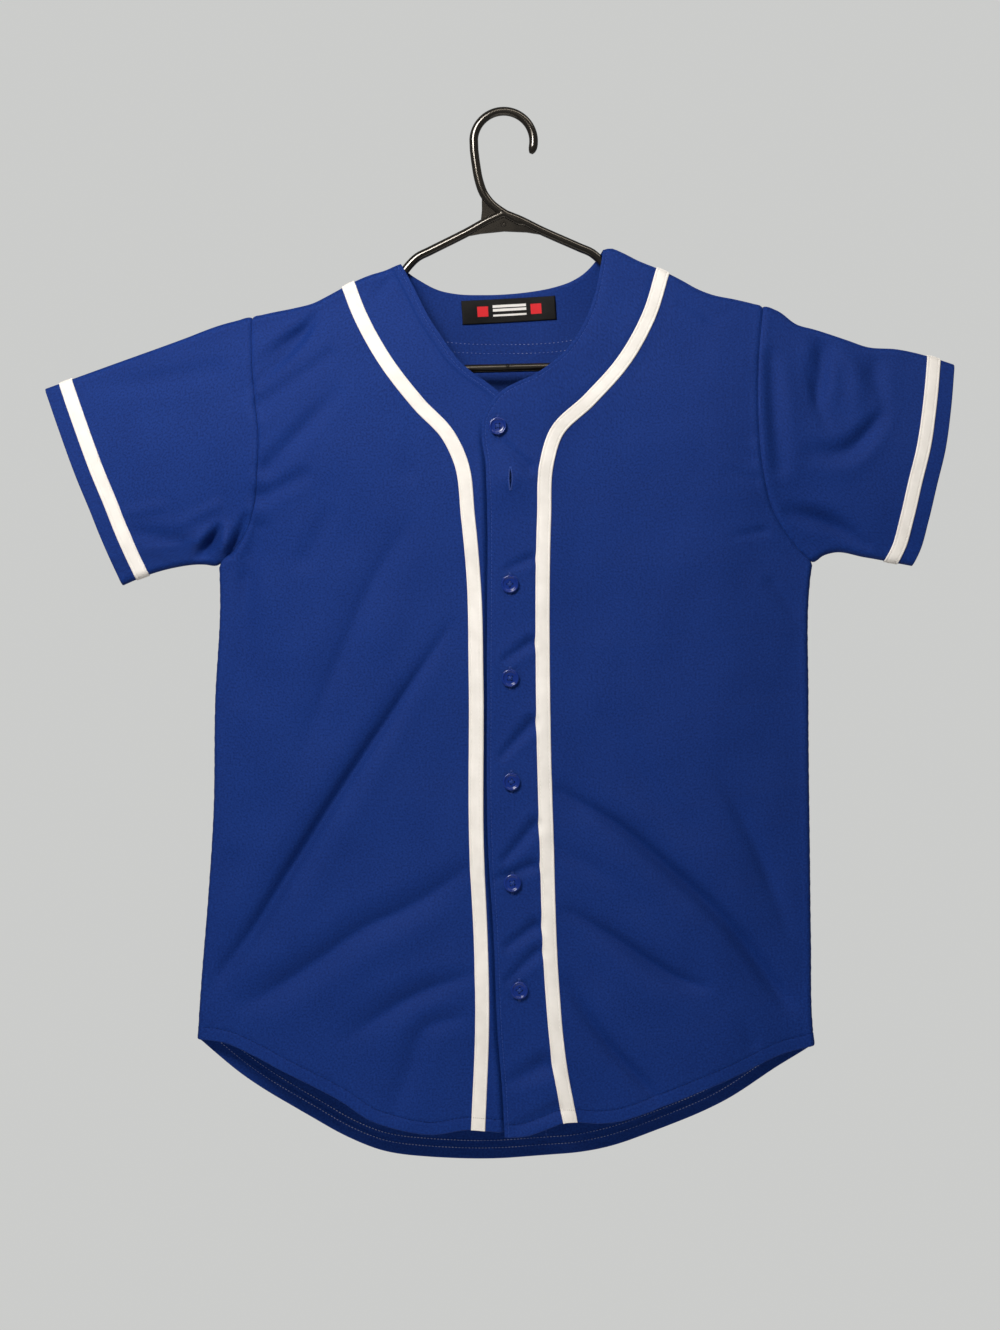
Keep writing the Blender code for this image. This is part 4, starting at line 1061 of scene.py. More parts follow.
def widths(left, right):
    """Width of every row between two grid lines."""
    return np.linalg.norm(right - left, axis=1)


def between(line, start, end):
    """The stretch of a line between the places nearest two points."""
    s = arc_length(line)
    limits = []
    for point in (start, end):
        _, place, _ = nearest(np.array([point]), line)
        limits.append(np.interp(place[0], np.arange(len(line)), s))
    inner = (s > min(limits)) & (s < max(limits))
    marks = np.concatenate([[min(limits)], s[inner], [max(limits)]])
    if limits[0] > limits[1]:
        marks = marks[::-1]
    return along(line, marks)


def meet(line, edge):
    """Cut a line that starts beyond an edge where it first crosses it."""
    distance, _, side = nearest(line, edge)
    signed = distance * side
    k = int(np.argmax(signed[:-1] * signed[1:] <= 0))
    share = abs(signed[k]) / (abs(signed[k]) + abs(signed[k + 1]))
    point = line[k] + share * (line[k + 1] - line[k])
    return np.vstack([point, line[k + 1:]])


# Front panels

UNDERARM_LEVEL = -359.0
CROSSING_COLUMNS = np.array([-5.0, -3.2, -2.0, -1.0, -0.2, 0.6, 1.4, 2.4, 3.8, 6.0])
CROSSING_START = FREE_ROWS[-1] + 7.0
CROSSING_END = 10.0
NARROW = 14.0


def braid_lines(table, shoulder, hem, offsets):
    """Lines along the braid, from hem to shoulder."""
    middle = extend(spline(table), RUN_ON, RUN_ON)
    return [meet(meet(inset(middle, offset), shoulder)[::-1], hem) for offset in offsets]


def crossing_columns(width, crossing):
    """Columns of a lower front, close together beside the edge lying over it."""
    middle = np.clip(crossing, CROSSING_START, max(width - CROSSING_END, CROSSING_START))
    before = np.linspace(FREE_ROWS[-1], middle + CROSSING_COLUMNS[0], 5)[1:]
    after = np.linspace(middle + CROSSING_COLUMNS[-1], width, 6)[1:]
    return np.concatenate([before, middle + CROSSING_COLUMNS[1:], after])


def front_grid(opening, braid_table, side, armhole, shoulder, hem, over=None):
    """Grid of one front, columns from its free edge to its side."""
    inner = edge_rows(*cut_at_level(opening, UNDERARM_LEVEL))
    outer = edge_rows(side[::-1], armhole[::-1])
    edges = [edge_rows(*cut_at_level(line, UNDERARM_LEVEL)) for line in braid_lines(
        braid_table, shoulder, hem, (-BRAID_WIDTH / 2, BRAID_WIDTH / 2))]
    edges.sort(key=lambda edge: abs(edge[0, 0] - inner[0, 0]))
    inner_shares = []
    for (x, z), width in zip(inner, widths(inner, edges[0])):
        near = FREE_ROWS * min(1.0, width / NARROW)
        rest = np.linspace(near[-1], width, INNER_COLUMNS + 1)[1:]
        if over is not None:
            rest = crossing_columns(width, x - np.interp(z, over[::-1, 1], over[::-1, 0]))
        inner_shares.append(np.concatenate([near, rest]) / width)
    band_shares = [np.linspace(0, 1, BAND_COLUMNS + 2)] * ROWS
    outer_shares = []
    for width in widths(edges[1], outer):
        even = np.linspace(0, width - FOLD_ROWS[-1], OUTER_COLUMNS)
        outer_shares.append(np.concatenate([even, width - FOLD_ROWS[-2::-1]]) / width)
    parts = [patch(left, right, between(hem, left[0], right[0]),
                   between(shoulder, left[-1], right[-1]), np.array(shares))
             for left, right, shares in ((inner, edges[0], inner_shares),
                                         (edges[0], edges[1], band_shares),
                                         (edges[1], outer, outer_shares))]
    return np.concatenate([parts[0], parts[1][:, 1:-1], parts[2]], axis=1)


hem_right = through(HEM_FRONT_RIGHT, np.array(HEM_FRONT_RIGHT[0]), side_right[-1])
hem_left = through(HEM_FRONT_LEFT, np.array(HEM_FRONT_LEFT[0]), side_left[-1])
hem_back = through(HEM_BACK, side_right[-1], side_left[-1])
neck_right = through(NECK_RIGHT, ridge_right[0], np.array(NECK_RIGHT[-1]))
neck_left = through(NECK_LEFT, ridge_left[0], np.array(NECK_LEFT[-1]))
neck_back = through(NECK_BACK, ridge_right[0], ridge_left[0])
centre_right = spline(CENTRE_RIGHT)
centre_left = spline(CENTRE_LEFT)
shoulder_right, shoulder_left = (
    np.vstack([ridge[arc_length(ridge) < start], armhole[:1]])
    for ridge, start, armhole in ((ridge_right, SLEEVE_START_RIGHT, armhole_right),
                                  (ridge_left, SLEEVE_START_LEFT, armhole_left)))
opening_right, opening_left = (
    np.vstack([centre[::-1], neck[::-1][1:]])
    for centre, neck in ((centre_right, neck_right), (centre_left, neck_left)))


def panel_relief(grid, free_edge, hem, seams, seed):
    """Fine relief and half thickness of a body panel."""
    opening, run = edge_place(grid, free_edge)
    bottom, hem_run = edge_place(grid, hem)
    relief = form(opening, EDGE_GROOVE) + puckered(opening, run, EDGE_PUCKER, seed)
    relief += form(bottom, HEM_GROOVE) + puckered(bottom, hem_run, HEM_PUCKER, seed + 1)
    for k, seam in enumerate(seams):
        distance, run = edge_place(grid, seam)
        relief += form(distance, SEAM_GROOVE) + form(distance, SEAM_RIDGE)
        relief += puckered(distance, run, SEAM_PUCKER, seed + k + 2)
    return relief, HALF * np.minimum(rounding(opening), rounding(bottom))


def panel(name, grid, side, free_edge, hem, seams, seed, lifted=False):
    """One body panel as a wall of cloth."""
    place = surface(grid, side, lifted)
    normal = normals(place, side)
    relief, half = panel_relief(grid, free_edge, hem, seams, seed)
    piece = slab(name + "_cloth", place, normal, half + relief, relief - half,
                 running_lengths(place, grid), cloth_material, "cloth")
    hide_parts(name)
    return piece


panel("front_right",
      front_grid(opening_right, BRAID_FRONT_RIGHT, side_right, armhole_right, shoulder_right,
                 hem_right, over=centre_left),
      -1, opening_right, hem_right, (side_right, armhole_right, shoulder_right), 1.0)
front_left = panel(
    "front_left",
    front_grid(opening_left, BRAID_FRONT_LEFT, side_left, armhole_left, shoulder_left, hem_left),
    -1, opening_left, hem_left, (side_left, armhole_left, shoulder_left), 2.0, lifted=True)


# Back panel

BACK_MIDDLE = 108


def back_grid():
    """Grid of the back, columns from side to side."""
    left = edge_rows(side_right[::-1], armhole_right[::-1])
    right = edge_rows(side_left[::-1], armhole_left[::-1])
    parts = (shoulder_right[::-1], neck_back, shoulder_left)
    top = np.vstack([parts[0], parts[1][1:], parts[2][1:]])
    lengths = [length_of(part) for part in parts]
    counts = [int(round(BACK_MIDDLE * length / sum(lengths))) for length in lengths]
    places = np.concatenate([
        FOLD_ROWS, np.linspace(FOLD_ROWS[-1], lengths[0], counts[0] + 1)[1:],
        lengths[0] + np.linspace(0, lengths[1], counts[1] + 1)[1:],
        lengths[0] + lengths[1] + np.linspace(
            0, lengths[2] - FOLD_ROWS[-1], counts[2] + 1)[1:],
        sum(lengths) - FOLD_ROWS[-2::-1]])
    near = len(FOLD_ROWS)
    shares = []
    for width, weight in zip(widths(left, right), smooth(ROW_SHARE)):
        share = spread(width, len(places) - 2 * near) / width
        share[near:-near] += weight * (places / places[-1] - share)[near:-near]
        shares.append(share)
    shares[-1] = places / places[-1]
    return patch(left, right, hem_back, top, np.array(shares))


panel("back", back_grid(), 1, neck_back, hem_back,
      (side_right, side_left, armhole_right, armhole_left), 5.0)


# Sleeves

AROUND = 52
ALONG_SLEEVE = 44
SLEEVE_SAMPLES = 60
ARMHOLE_PLACES = np.array([0.0, 0.3, 0.8, 1.5, 2.5, 3.6, 5.0, 7.0]) + 0.2
CUFF_PLACES = np.array([36.0, 32.0, 28.0, 25.0, 23.2, 20.0, 17.6, 14.0, 12.0, 11.0, 9.0,
                        6.0, 3.0, 1.4, 0.8, 0.4, 0.12, 0.0])


def sleeve_lines(ridge, under, armhole, cuff, start):
    """For each row round the sleeve, a dense line from armhole to cuff."""
    top = np.vstack([along(ridge, start), ridge[arc_length(ridge) > start]])
    around = spread(length_of(armhole), AROUND)
    inner = along(armhole, around)
    outer = along(cuff, spread(length_of(cuff), AROUND))
    across = np.linspace(0, 1, SLEEVE_SAMPLES)[:, None]
    bends = []
    for edge in (top, under):
        line = along(edge, across[:, 0] * length_of(edge))
        bends.append(line - (line[0] + across * (line[-1] - line[0])))
    return [first + across * (last - first) + (1 - share) * bends[0] + share * bends[1]
            for first, last, share in zip(inner, outer, around / around[-1])]


def sleeve_grid(lines, from_cuff, from_armhole=None):
    """Points at distances from the cuff, with the inner part if asked."""
    grid = []
    for line in lines:
        places = length_of(line) - from_cuff
        if from_armhole is not None:
            reach = np.linspace(from_armhole[-1], places[0], ALONG_SLEEVE + 2)[1:-1]
            places = np.concatenate([from_armhole, reach, places])
        grid.append(along(line, places))
    return np.array(grid)


def ring(grid):
    """Front from top to bottom, then back from bottom to top."""
    front_side = surface(grid, -1, gap=0.0, ripple=0.6)
    back_side = surface(grid[1:-1][::-1], 1, gap=0.0, ripple=0.6)
    place = np.concatenate([front_side, back_side])
    points = np.concatenate([grid, grid[1:-1][::-1]])
    return place, points, normals(place, -1, closed=True)


def ring_lengths(place):
    """Flat place on a ring: distance along the sleeve and round it."""
    around = run_of(place.mean(axis=1))
    run = np.stack([run_of(line) for line in place])
    return np.stack([run, np.repeat(around[:, None], place.shape[1], axis=1)], axis=-1)


def sleeve(name, braid_name, seed, ridge, under, armhole, cuff, start):
    """A sleeve with its braid."""
    lines = sleeve_lines(ridge, under, armhole, cuff, start)
    place, points, normal = ring(sleeve_grid(lines, CUFF_PLACES, ARMHOLE_PLACES))
    seam, run = edge_place(points, armhole)
    edge, cuff_run = edge_place(points, cuff)
    relief = form(seam, ARMHOLE_GROOVE) + form(seam, ARMHOLE_RIDGE)
    relief += puckered(seam, run, ARMHOLE_PUCKER, seed)
    relief += puckered(edge, cuff_run, CUFF_PUCKER, seed + 1)
    half = HALF * rounding(edge)
    piece = slab(name + "_cloth", place, normal, half + relief, relief - half,
                 ring_lengths(place), cloth_material, "cloth", closed=True)
    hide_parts(name)
    band = sleeve_grid(lines, CUFF_TO_BRAID + BRAID_WIDTH * (1 - BRAID_SHARES))
    place, _, normal = ring(band)
    outer, inner = braid_layers(np.tile(BRAID_SHARES, (len(place), 1)), cuff_run[:, :1])
    braid = slab(braid_name + "_tape", place, normal, outer, inner,
                 ring_lengths(place), braid_material, "braid", closed=True)
    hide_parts(braid_name)
    braid_stitches(braid_name, place, normal, outer, closed=True)


# Braid

BRAID_SHARES = np.array([0.0, 0.012, 0.045, 0.10, 0.15, 0.185, 0.22, 0.27, 0.36, 0.5,
                         0.64, 0.73, 0.78, 0.815, 0.85, 0.90, 0.955, 0.988, 1.0])
BRAID_STITCH_SHARES = (0.185, 0.815)
BRAID_STITCH_GROOVE = (0.185 * BRAID_WIDTH, 0.38, -0.26)
BRAID_ROUND = 0.55
BRAID_CROWN = 0.10
BRAID_PUCKER = 0.05
BRAID_PUCKER_PITCH = 5.0
BRAID_BEND = 8
BRAID_LOW = HALF + 0.12
BRAID_BACK_ROWS = 70
FOLDED_END = 0.3
FOLDED_LENGTH = 9.4
FOLDED_STEP = 0.9
END_ROWS = (9, -10)


def braid_layers(shares, run):
    """Outer and inner height of the braid over the cloth's middle."""
    edge = np.minimum(shares, 1 - shares) * BRAID_WIDTH
    crown = BRAID_CROWN * np.sin(math.pi * shares)
    outer = BRAID_LOW + (BRAID_THICKNESS + crown) * rounding(edge, BRAID_ROUND)
    outer = outer + form(edge, BRAID_STITCH_GROOVE)
    outer = outer + BRAID_PUCKER * puckers(run, 0.3, BRAID_PUCKER_PITCH)
    return outer, np.full(shares.shape, BRAID_LOW)


def braid_strip():
    """Grid of the neck braid: up the right front, round the back, down the left front."""
    offsets = BRAID_WIDTH * (BRAID_SHARES - 0.5)
    right, left = (
        np.stack([edge_rows(*cut_at_level(line, UNDERARM_LEVEL))
                  for line in braid_lines(table, shoulder, hem, offsets)], axis=1)
        for table, shoulder, hem in ((BRAID_FRONT_RIGHT, shoulder_right, hem_right),
                                     (BRAID_FRONT_LEFT, shoulder_left, hem_left)))
    if right[0, 0, 0] > right[0, -1, 0]:
        right = right[:, ::-1]
    if left[0, 0, 0] < left[0, -1, 0]:
        left = left[:, ::-1]
    middle = extend(spline(BRAID_BACK), RUN_ON, RUN_ON)
    back_lines = []
    for k, offset in enumerate(offsets):
        line = meet(inset(middle, -offset), shoulder_right)
        line = meet(line[::-1], shoulder_left)[::-1]
        share = (arc_length(line) / length_of(line))[:, None]
        line = (line + np.exp(-share * BRAID_BEND) * (right[-1, k] - line[0])
                + np.exp(-(1 - share) * BRAID_BEND) * (left[-1, k] - line[-1]))
        line[0], line[-1] = right[-1, k], left[-1, k]
        back_lines.append(along(line, spread(length_of(line), BRAID_BACK_ROWS)))
    back_part = np.stack(back_lines, axis=1)
    place = np.concatenate([surface(right, -1), surface(back_part, 1),
                            surface(left[::-1], -1, True)])
    normal = normals(place, -1)
    if normal[:len(right), :, 1].mean() > 0:
        normal = -normal
    return place, normal


def neck_braid():
    """The braid round the neck, with its rows of stitches."""
    place, normal = braid_strip()
    run = run_of(place[:, len(BRAID_SHARES) // 2])
    shares, runs = np.meshgrid(BRAID_SHARES, run)
    outer, inner = braid_layers(shares, runs)
    end = np.minimum(run, run[-1] - run)[:, None]
    outer = outer + FOLDED_END * smooth((FOLDED_LENGTH - end) / FOLDED_STEP)
    piece = slab("braid_neck_tape", place, normal, outer, inner,
                 np.stack([shares * BRAID_WIDTH, runs], axis=-1), braid_material, "braid")
    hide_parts("braid_neck")
    braid_stitches("braid_neck", place, normal, outer)
    stitches("braid_end_stitches", [
        (place[k] + normal[k] * outer[k, :, None], normal[k]) for k in END_ROWS],
        "tan_thread", length=0.9, pitch=1.5, radius=0.2)


# Stitches

THREAD = 0.24
STITCH_LENGTH = 2.5
STITCH_PITCH = 3.1
STITCH_SIDES = 5
STITCH_SECTIONS = ((0.14, 0.8, 0.04), (0.5, 1.0, 0.12), (0.86, 0.8, 0.04))
STITCH_SINK = 0.12
SEAM_SAMPLE = 0.6


def braid_stitches(name, place, normal, outer, closed=False):
    """Two rows of stitches on top of a braid grid."""
    columns = [int(np.argmin(np.abs(BRAID_SHARES - share))) for share in BRAID_STITCH_SHARES]
    stitches(name + "_stitches", [
        (place[:, k] + normal[:, k] * outer[:, k, None], normal[:, k]) for k in columns],
        "white_thread", closed=closed)


def at_run(line, run, values):
    """Values of a line at distances along it."""
    s = run_of(line)
    return np.stack([np.interp(run, s, values[:, c]) for c in range(3)], axis=-1)


def thread_bars(name, starts, ends, ups, radius, thread, slot_name=None):
    """Short threads from point to point, each sunk a little at its ends."""
    a, b, n = (np.asarray(part, dtype=float) for part in (starts, ends, ups))
    n = n / np.linalg.norm(n, axis=1)[:, None]
    ahead = b - a
    ahead /= np.maximum(np.linalg.norm(ahead, axis=1), 1e-6)[:, None]
    side = np.cross(ahead, n)
    corners = []
    for share, size, rise in STITCH_SECTIONS:
        centre = a + share * (b - a) + n * rise
        for k in range(STITCH_SIDES):
            angle = 2 * math.pi * k / STITCH_SIDES
            corners.append(centre + radius * size * (
                math.cos(angle) * side + math.sin(angle) * n))
    corners += [a - n * STITCH_SINK, b - n * STITCH_SINK]
    points = np.stack(corners, axis=1).reshape(-1, 3)
    block = len(corners)
    polygons = []
    for i in range(STITCH_SIDES):
        j = (i + 1) % STITCH_SIDES
        for first in (0, STITCH_SIDES):
            polygons.append((first + i, first + j, first + STITCH_SIDES + j,
                             first + STITCH_SIDES + i))
        polygons.append((block - 2, j, i))
        polygons.append((block - 1, 2 * STITCH_SIDES + i, 2 * STITCH_SIDES + j))
    base = block * np.arange(len(a))[:, None]
    listed = [row for corner in polygons for row in (base + np.array(corner)).tolist()]
    make_object(name, *facing_out(points, listed), thread_materials[thread], slot_name)


def stitches(name, lines, thread, closed=False, length=STITCH_LENGTH, pitch=STITCH_PITCH,
             radius=THREAD):
    """Rows of stitches laid along lines."""
    starts, ends, ups = [], [], []
    for line, up in lines:
        if closed:
            line, up = np.vstack([line, line[:1]]), np.vstack([up, up[:1]])
        total = run_of(line)[-1]
        count = int(total / pitch)
        runs = (np.arange(count) + 0.1) * total / count
        starts.append(at_run(line, runs, line))
        ends.append(at_run(line, runs + length, line))
        ups.append(at_run(line, runs + length / 2, up))
    thread_bars(name, np.vstack(starts), np.vstack(ends), np.vstack(ups), radius, thread)


def seam_line(line, side, lifted, lift):
    """A line on the outer face of the cloth, or on the inner one."""
    middle = surface(line, side, lifted)
    across = (surface(inset(line, SEAM_SAMPLE), side, lifted)
              - surface(inset(line, -SEAM_SAMPLE), side, lifted))
    up = np.cross(across, np.gradient(middle, axis=0))
    up /= np.linalg.norm(up, axis=1)[:, None]
    up *= np.sign(up[:, 1:2].sum() * side)
    return middle + up * lift, up * math.copysign(1.0, lift)


sleeve("sleeve_right", "braid_sleeve_right", 7.0, ridge_right, under_right,
       armhole_right, cuff_right, SLEEVE_START_RIGHT)
sleeve("sleeve_left", "braid_sleeve_left", 9.0, ridge_left, under_left,
       armhole_left, cuff_left, SLEEVE_START_LEFT)
neck_braid()

EDGE_FACE = HALF - 0.26
HEM_FACE = HALF - 0.28
INNER_FACE = -HALF - 0.10
INNER_HEM_ROWS = (1.4, -4.6)
BRAID_ROW = 3.6
stitches("opening_stitches", [
    seam_line(inset(opening_right, -EDGE_GROOVE[0]), -1, False, EDGE_FACE),
    seam_line(inset(opening_left, EDGE_GROOVE[0]), -1, True, EDGE_FACE)], "blue_thread")
stitches("hem_stitches", [
    seam_line(inset(hem_right, HEM_STITCH), -1, False, HEM_FACE),
    seam_line(inset(hem_left, -HEM_STITCH), -1, True, HEM_FACE),
    seam_line(inset(hem_back, -HEM_STITCH), 1, False, HEM_FACE)], "dark_blue_thread")
stitches("hem_inner_stitches", [
    seam_line(inset(hem_back, shift - HEM_STITCH), 1, False, INNER_FACE)
    for shift in INNER_HEM_ROWS], "pale_blue_thread", length=1.7, pitch=2.7, radius=0.34)
stitches("back_inner_stitches", [
    seam_line(inset(spline(BRAID_BACK), offset), 1, False, -HALF - 0.02)
    for offset in (-BRAID_ROW, BRAID_ROW)],
    "pale_blue_thread", length=1.4, pitch=3.4, radius=0.2)


# Buttonholes

HOLE_LENGTH = 15.0
HOLE_OPENING = 1.3
CLOSED_OPENING = 0.3
SATIN = 1.25
SATIN_PITCH = 0.42
SATIN_LEAN = 0.08
LIP = 0.12
END_STITCHES = 4
END_GAP = 0.3
END_PITCH = 0.4
SLIT_DEPTHS = (-4.0, 3.0)
SLIT_CORNERS = 22
OPEN_HOLE = (5.4, -292.3)


def cut_open_hole():
    """The slit of the one buttonhole whose button has slipped out."""
    x, z = OPEN_HOLE
    t = np.linspace(0, 2 * math.pi, SLIT_CORNERS, endpoint=False) + 0.1
    outline = np.stack([x + 0.5 * HOLE_OPENING * np.sin(t) * np.abs(np.sin(t)) ** 0.3,
                        z + 0.5 * (HOLE_LENGTH - 1.5) * np.cos(t)], axis=1)
    depth = surface(np.array([[[x, z]]]), -1, True)[0, 0, 1]
    count = len(outline)
    vertices = np.array([(px, depth + y, pz) for y in SLIT_DEPTHS for px, pz in outline])
    faces = [tuple(range(count)), tuple(range(2 * count - 1, count - 1, -1))]
    faces += [(k, k + count, (k + 1) % count + count, (k + 1) % count) for k in range(count)]
    combine(front_left, plain_object("slit_blank", *facing_out(vertices, faces)), "DIFFERENCE")
    front_left.data.set_sharp_from_angle(angle=math.radians(65))


def buttonholes():
    """Satin stitches along both lips of every hole and across its ends."""
    spots = [spot for number, spot in enumerate(BUTTONS, start=1) if number != HIDDEN_BUTTON]
    starts, ends = [], []
    for x, z in spots + [OPEN_HOLE]:
        opening = HOLE_OPENING if (x, z) == OPEN_HOLE else CLOSED_OPENING
        for place in np.arange(-HOLE_LENGTH / 2, HOLE_LENGTH / 2 + 0.1, SATIN_PITCH):
            share = max(0.0, 1 - (2 * place / HOLE_LENGTH) ** 2)
            lip = LIP + 0.5 * opening * share
            for toward in (-1.0, 1.0):
                starts.append((x + toward * lip, z + place))
                ends.append((x + toward * (lip + SATIN), z + place + SATIN_LEAN * toward))
        for end in (-1.0, 1.0):
            for row in range(END_STITCHES):
                place = end * (HOLE_LENGTH / 2 + END_GAP + END_PITCH * row)
                starts.append((x - SATIN, z + place))
                ends.append((x + SATIN, z + place + 0.06))
    a, up_a = spots_on_cloth(starts)
    b, up_b = spots_on_cloth(ends)
    thread_bars("buttonhole_stitches", a, b, up_a + up_b, THREAD, "blue_thread", "cloth")


def spots_on_cloth(spots):
    """Points on the outer face of the upper front, and what points out there."""
    reach = (-SEAM_SAMPLE, 0.0, SEAM_SAMPLE)
    around = np.array(spots)[:, None, None, :] + np.array([[[i, j] for i in reach] for j in reach])
    place = surface(around, -1, True)
    up = np.cross(place[:, 1, 2] - place[:, 1, 0], place[:, 2, 1] - place[:, 0, 1])
    up /= np.linalg.norm(up, axis=1)[:, None]
    up *= -np.sign(up[:, 1:2])
    return place[:, 1, 1] + up * (HALF + 0.02), up


cut_open_hole()
buttonholes()


# Neck label on the inner side of the back

LABEL_GAP = 0.35
LABEL_BOW = 0.5


def neck_label():
    """Label that bows a little off the cloth."""
    tilt = math.radians(LABEL_TILT)
    along_x = np.array([math.cos(tilt), math.sin(tilt)])
    along_z = np.array([-math.sin(tilt), math.cos(tilt)])
    u, v = np.meshgrid(np.linspace(-0.5, 0.5, 61), np.linspace(-0.5, 0.5, 21))
    grid = (np.array(LABEL_CENTRE) + u[..., None] * LABEL_WIDTH * along_x
            + v[..., None] * LABEL_HEIGHT * along_z)
    place = surface(grid, 1)
    normal = normals(place, 1)
    bow = LABEL_BOW * (1 - (2 * v) ** 2) * (0.4 + 0.6 * (2 * u) ** 2)
    low = -(HALF + LABEL_GAP) - bow
    flat = np.stack([u * LABEL_WIDTH, v * LABEL_HEIGHT], axis=-1)
    piece = slab("neck_label_woven", place, normal, low, low - LABEL_THICKNESS, flat,
                 label_material, "label")
    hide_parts("neck_label")


neck_label()


# Buttons

BUTTON_RINGS = (  # radius and height over the back of the button
    (0.0, 0.0), (4.8, 0.0), (5.8, 0.15), (6.5, 0.55), (6.9, 1.05), (7.0, 1.5), (6.93, 1.9),
    (6.7, 2.2), (6.35, 2.36), (5.95, 2.38), (5.6, 2.27), (5.3, 2.02), (5.05, 1.72),
    (4.75, 1.52), (4.3, 1.42), (3.2, 1.36), (1.6, 1.33), (0.0, 1.33),
)
BUTTON_SIDES = 48
BUTTON_TURNS = (4.0, 0.0, 45.0, -6.0, 38.0, 8.0, 42.0)
HOLE_RADIUS = 0.75
HOLE_OFFSET = 1.4
HOLE_RINGS = ((0.0, -1.0), (HOLE_RADIUS, -1.0), (HOLE_RADIUS, 1.18), (HOLE_RADIUS + 0.3, 1.6),
              (0.0, 1.6))
THREAD_SHIFTS = (-0.26, 0.0, 0.26)
THREAD_REACH = 1.42
THREAD_LOW = 1.15
THREAD_RISE = 0.62
THREAD_OVER = 0.18
THREAD_SIDES = 6
SHANK_RADIUS = 1.3
SHANK_TURNS = 5


def closed_disc(rings, sides):
    """Turned solid about its own Z, from its back to its face."""
    turn = 2 * math.pi * (np.arange(sides) + 0.3) / sides
    vertices = [(0.0, 0.0, rings[0][1])]
    for radius, height in rings[1:-1]:
        vertices.extend((radius * math.cos(t), radius * math.sin(t), height) for t in turn)
    vertices.append((0.0, 0.0, rings[-1][1]))
    faces = []
    last = len(vertices) - 1
    for k in range(sides):
        n = (k + 1) % sides
        faces.append((0, 1 + n, 1 + k))
        for ring_number in range(len(rings) - 3):
            a = 1 + ring_number * sides
            faces.append((a + k, a + n, a + sides + n, a + sides + k))
        a = 1 + (len(rings) - 3) * sides
        faces.append((a + k, a + n, last))
    return np.array(vertices), faces


def button_mesh():
    """One button with its four holes, in its own frame."""
    body = plain_object("button_blank", *closed_disc(BUTTON_RINGS, BUTTON_SIDES))
    for x in (-HOLE_OFFSET, HOLE_OFFSET):
        for y in (-HOLE_OFFSET, HOLE_OFFSET):
            vertices, faces = closed_disc(HOLE_RINGS, 16)
            combine(body, plain_object("hole_blank", vertices + [x, y, 0.0], faces), "DIFFERENCE")
    mesh = body.data
    bpy.data.objects.remove(body)
    finish_solid(mesh, button_material, 38)
    return mesh


def tube(path, radius, sides):
    """Thread or rod along a path of 3-D points."""
    path = np.asarray(path, dtype=float)
    ahead = np.gradient(path, axis=0)
    ahead /= np.linalg.norm(ahead, axis=1)[:, None]
    reference = [1.0, 0.0, 0.0] if abs(ahead[0, 1]) > 0.9 else [0.0, 1.0, 0.0]
    side = np.cross(ahead, np.array(reference))
    side /= np.linalg.norm(side, axis=1)[:, None]
    up = np.cross(side, ahead)
    turn = 2 * math.pi * np.arange(sides) / sides
    radii = np.broadcast_to(radius, len(path))
    vertices = [point + r * (math.cos(t) * s + math.sin(t) * u)
                for point, r, s, u in zip(path, radii, side, up) for t in turn]
    faces = band_faces(len(path), sides)
    faces.append(tuple(range(sides))[::-1])
    faces.append(tuple(range((len(path) - 1) * sides, len(path) * sides)))
    return facing_out(np.array(vertices), faces)


def joined(parts):
    """Points and faces of several parts in one list."""
    faces = []
    first = 0
    for some_vertices, some_faces in parts:
        faces.extend(tuple(first + k for k in face) for face in some_faces)
        first += len(some_vertices)
    return np.concatenate([some_vertices for some_vertices, _ in parts]), faces


def button_thread():
    """Crossed threads through the holes and the shank under the button."""
    parts = []
    t = np.linspace(-1, 1, 9)
    for turn in (1, -1):
        for shift in THREAD_SHIFTS:
            rise = THREAD_LOW + THREAD_RISE * (1 - t**4) + (THREAD_OVER if turn > 0 else 0.0)
            reach = THREAD_REACH * t
            path = np.stack([reach + shift * turn, reach * turn - shift, rise], axis=1)
            parts.append(tube(path, 0.19, THREAD_SIDES))
    t = np.linspace(0, 1, 46)
    spin = 2 * math.pi * SHANK_TURNS * t
    path = np.stack([SHANK_RADIUS * np.cos(spin), SHANK_RADIUS * np.sin(spin),
                     -BUTTON_GAP - 0.3 + 0.9 * t], axis=1)
    parts.append(tube(path, THREAD, THREAD_SIDES))
    return joined(parts)


def button_frame(x, z, lifted):
    """Middle of a button's back, and its directions across, up and out."""
    spot = np.array([[[x + i, z + j] for i in (-3.0, 0.0, 3.0)] for j in (-3.0, 0.0, 3.0)])
    place = surface(spot, -1, lifted)
    out = normals(place, -1)[1, 1]
    up = np.array([0.0, 0.0, 1.0])
    up -= np.dot(up, out) * out
    up /= np.linalg.norm(up)
    return place[1, 1] + out * (HALF + BUTTON_GAP), np.cross(up, out), up, out


def buttons():
    """Seven buttons with their threads."""
    mesh = button_mesh()
    vertices, faces = button_thread()
    threads = []
    for number, (x, z) in enumerate(BUTTONS, start=1):
        centre, across, up, out = button_frame(x, z, number != HIDDEN_BUTTON)
        turn = math.radians(BUTTON_TURNS[number - 1])
        right = math.cos(turn) * across + math.sin(turn) * up
        axes = np.stack([right, np.cross(out, right), out])
        data = mesh.copy()
        flat = np.empty(len(data.vertices) * 3)
        data.vertices.foreach_get("co", flat)
        flat = flat.reshape(-1, 3) @ axes + centre * MM
        data.vertices.foreach_set("co", flat.ravel())
        data.update()
        piece = added(bpy.data.objects.new(f"button_{number}_made", data))
        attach(piece, "root")
        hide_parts(f"button_{number}")
        threads.append((vertices @ axes + centre, faces))
    make_object("button_threads", *joined(threads), thread_materials["blue_thread"])


buttons()


# Hanger

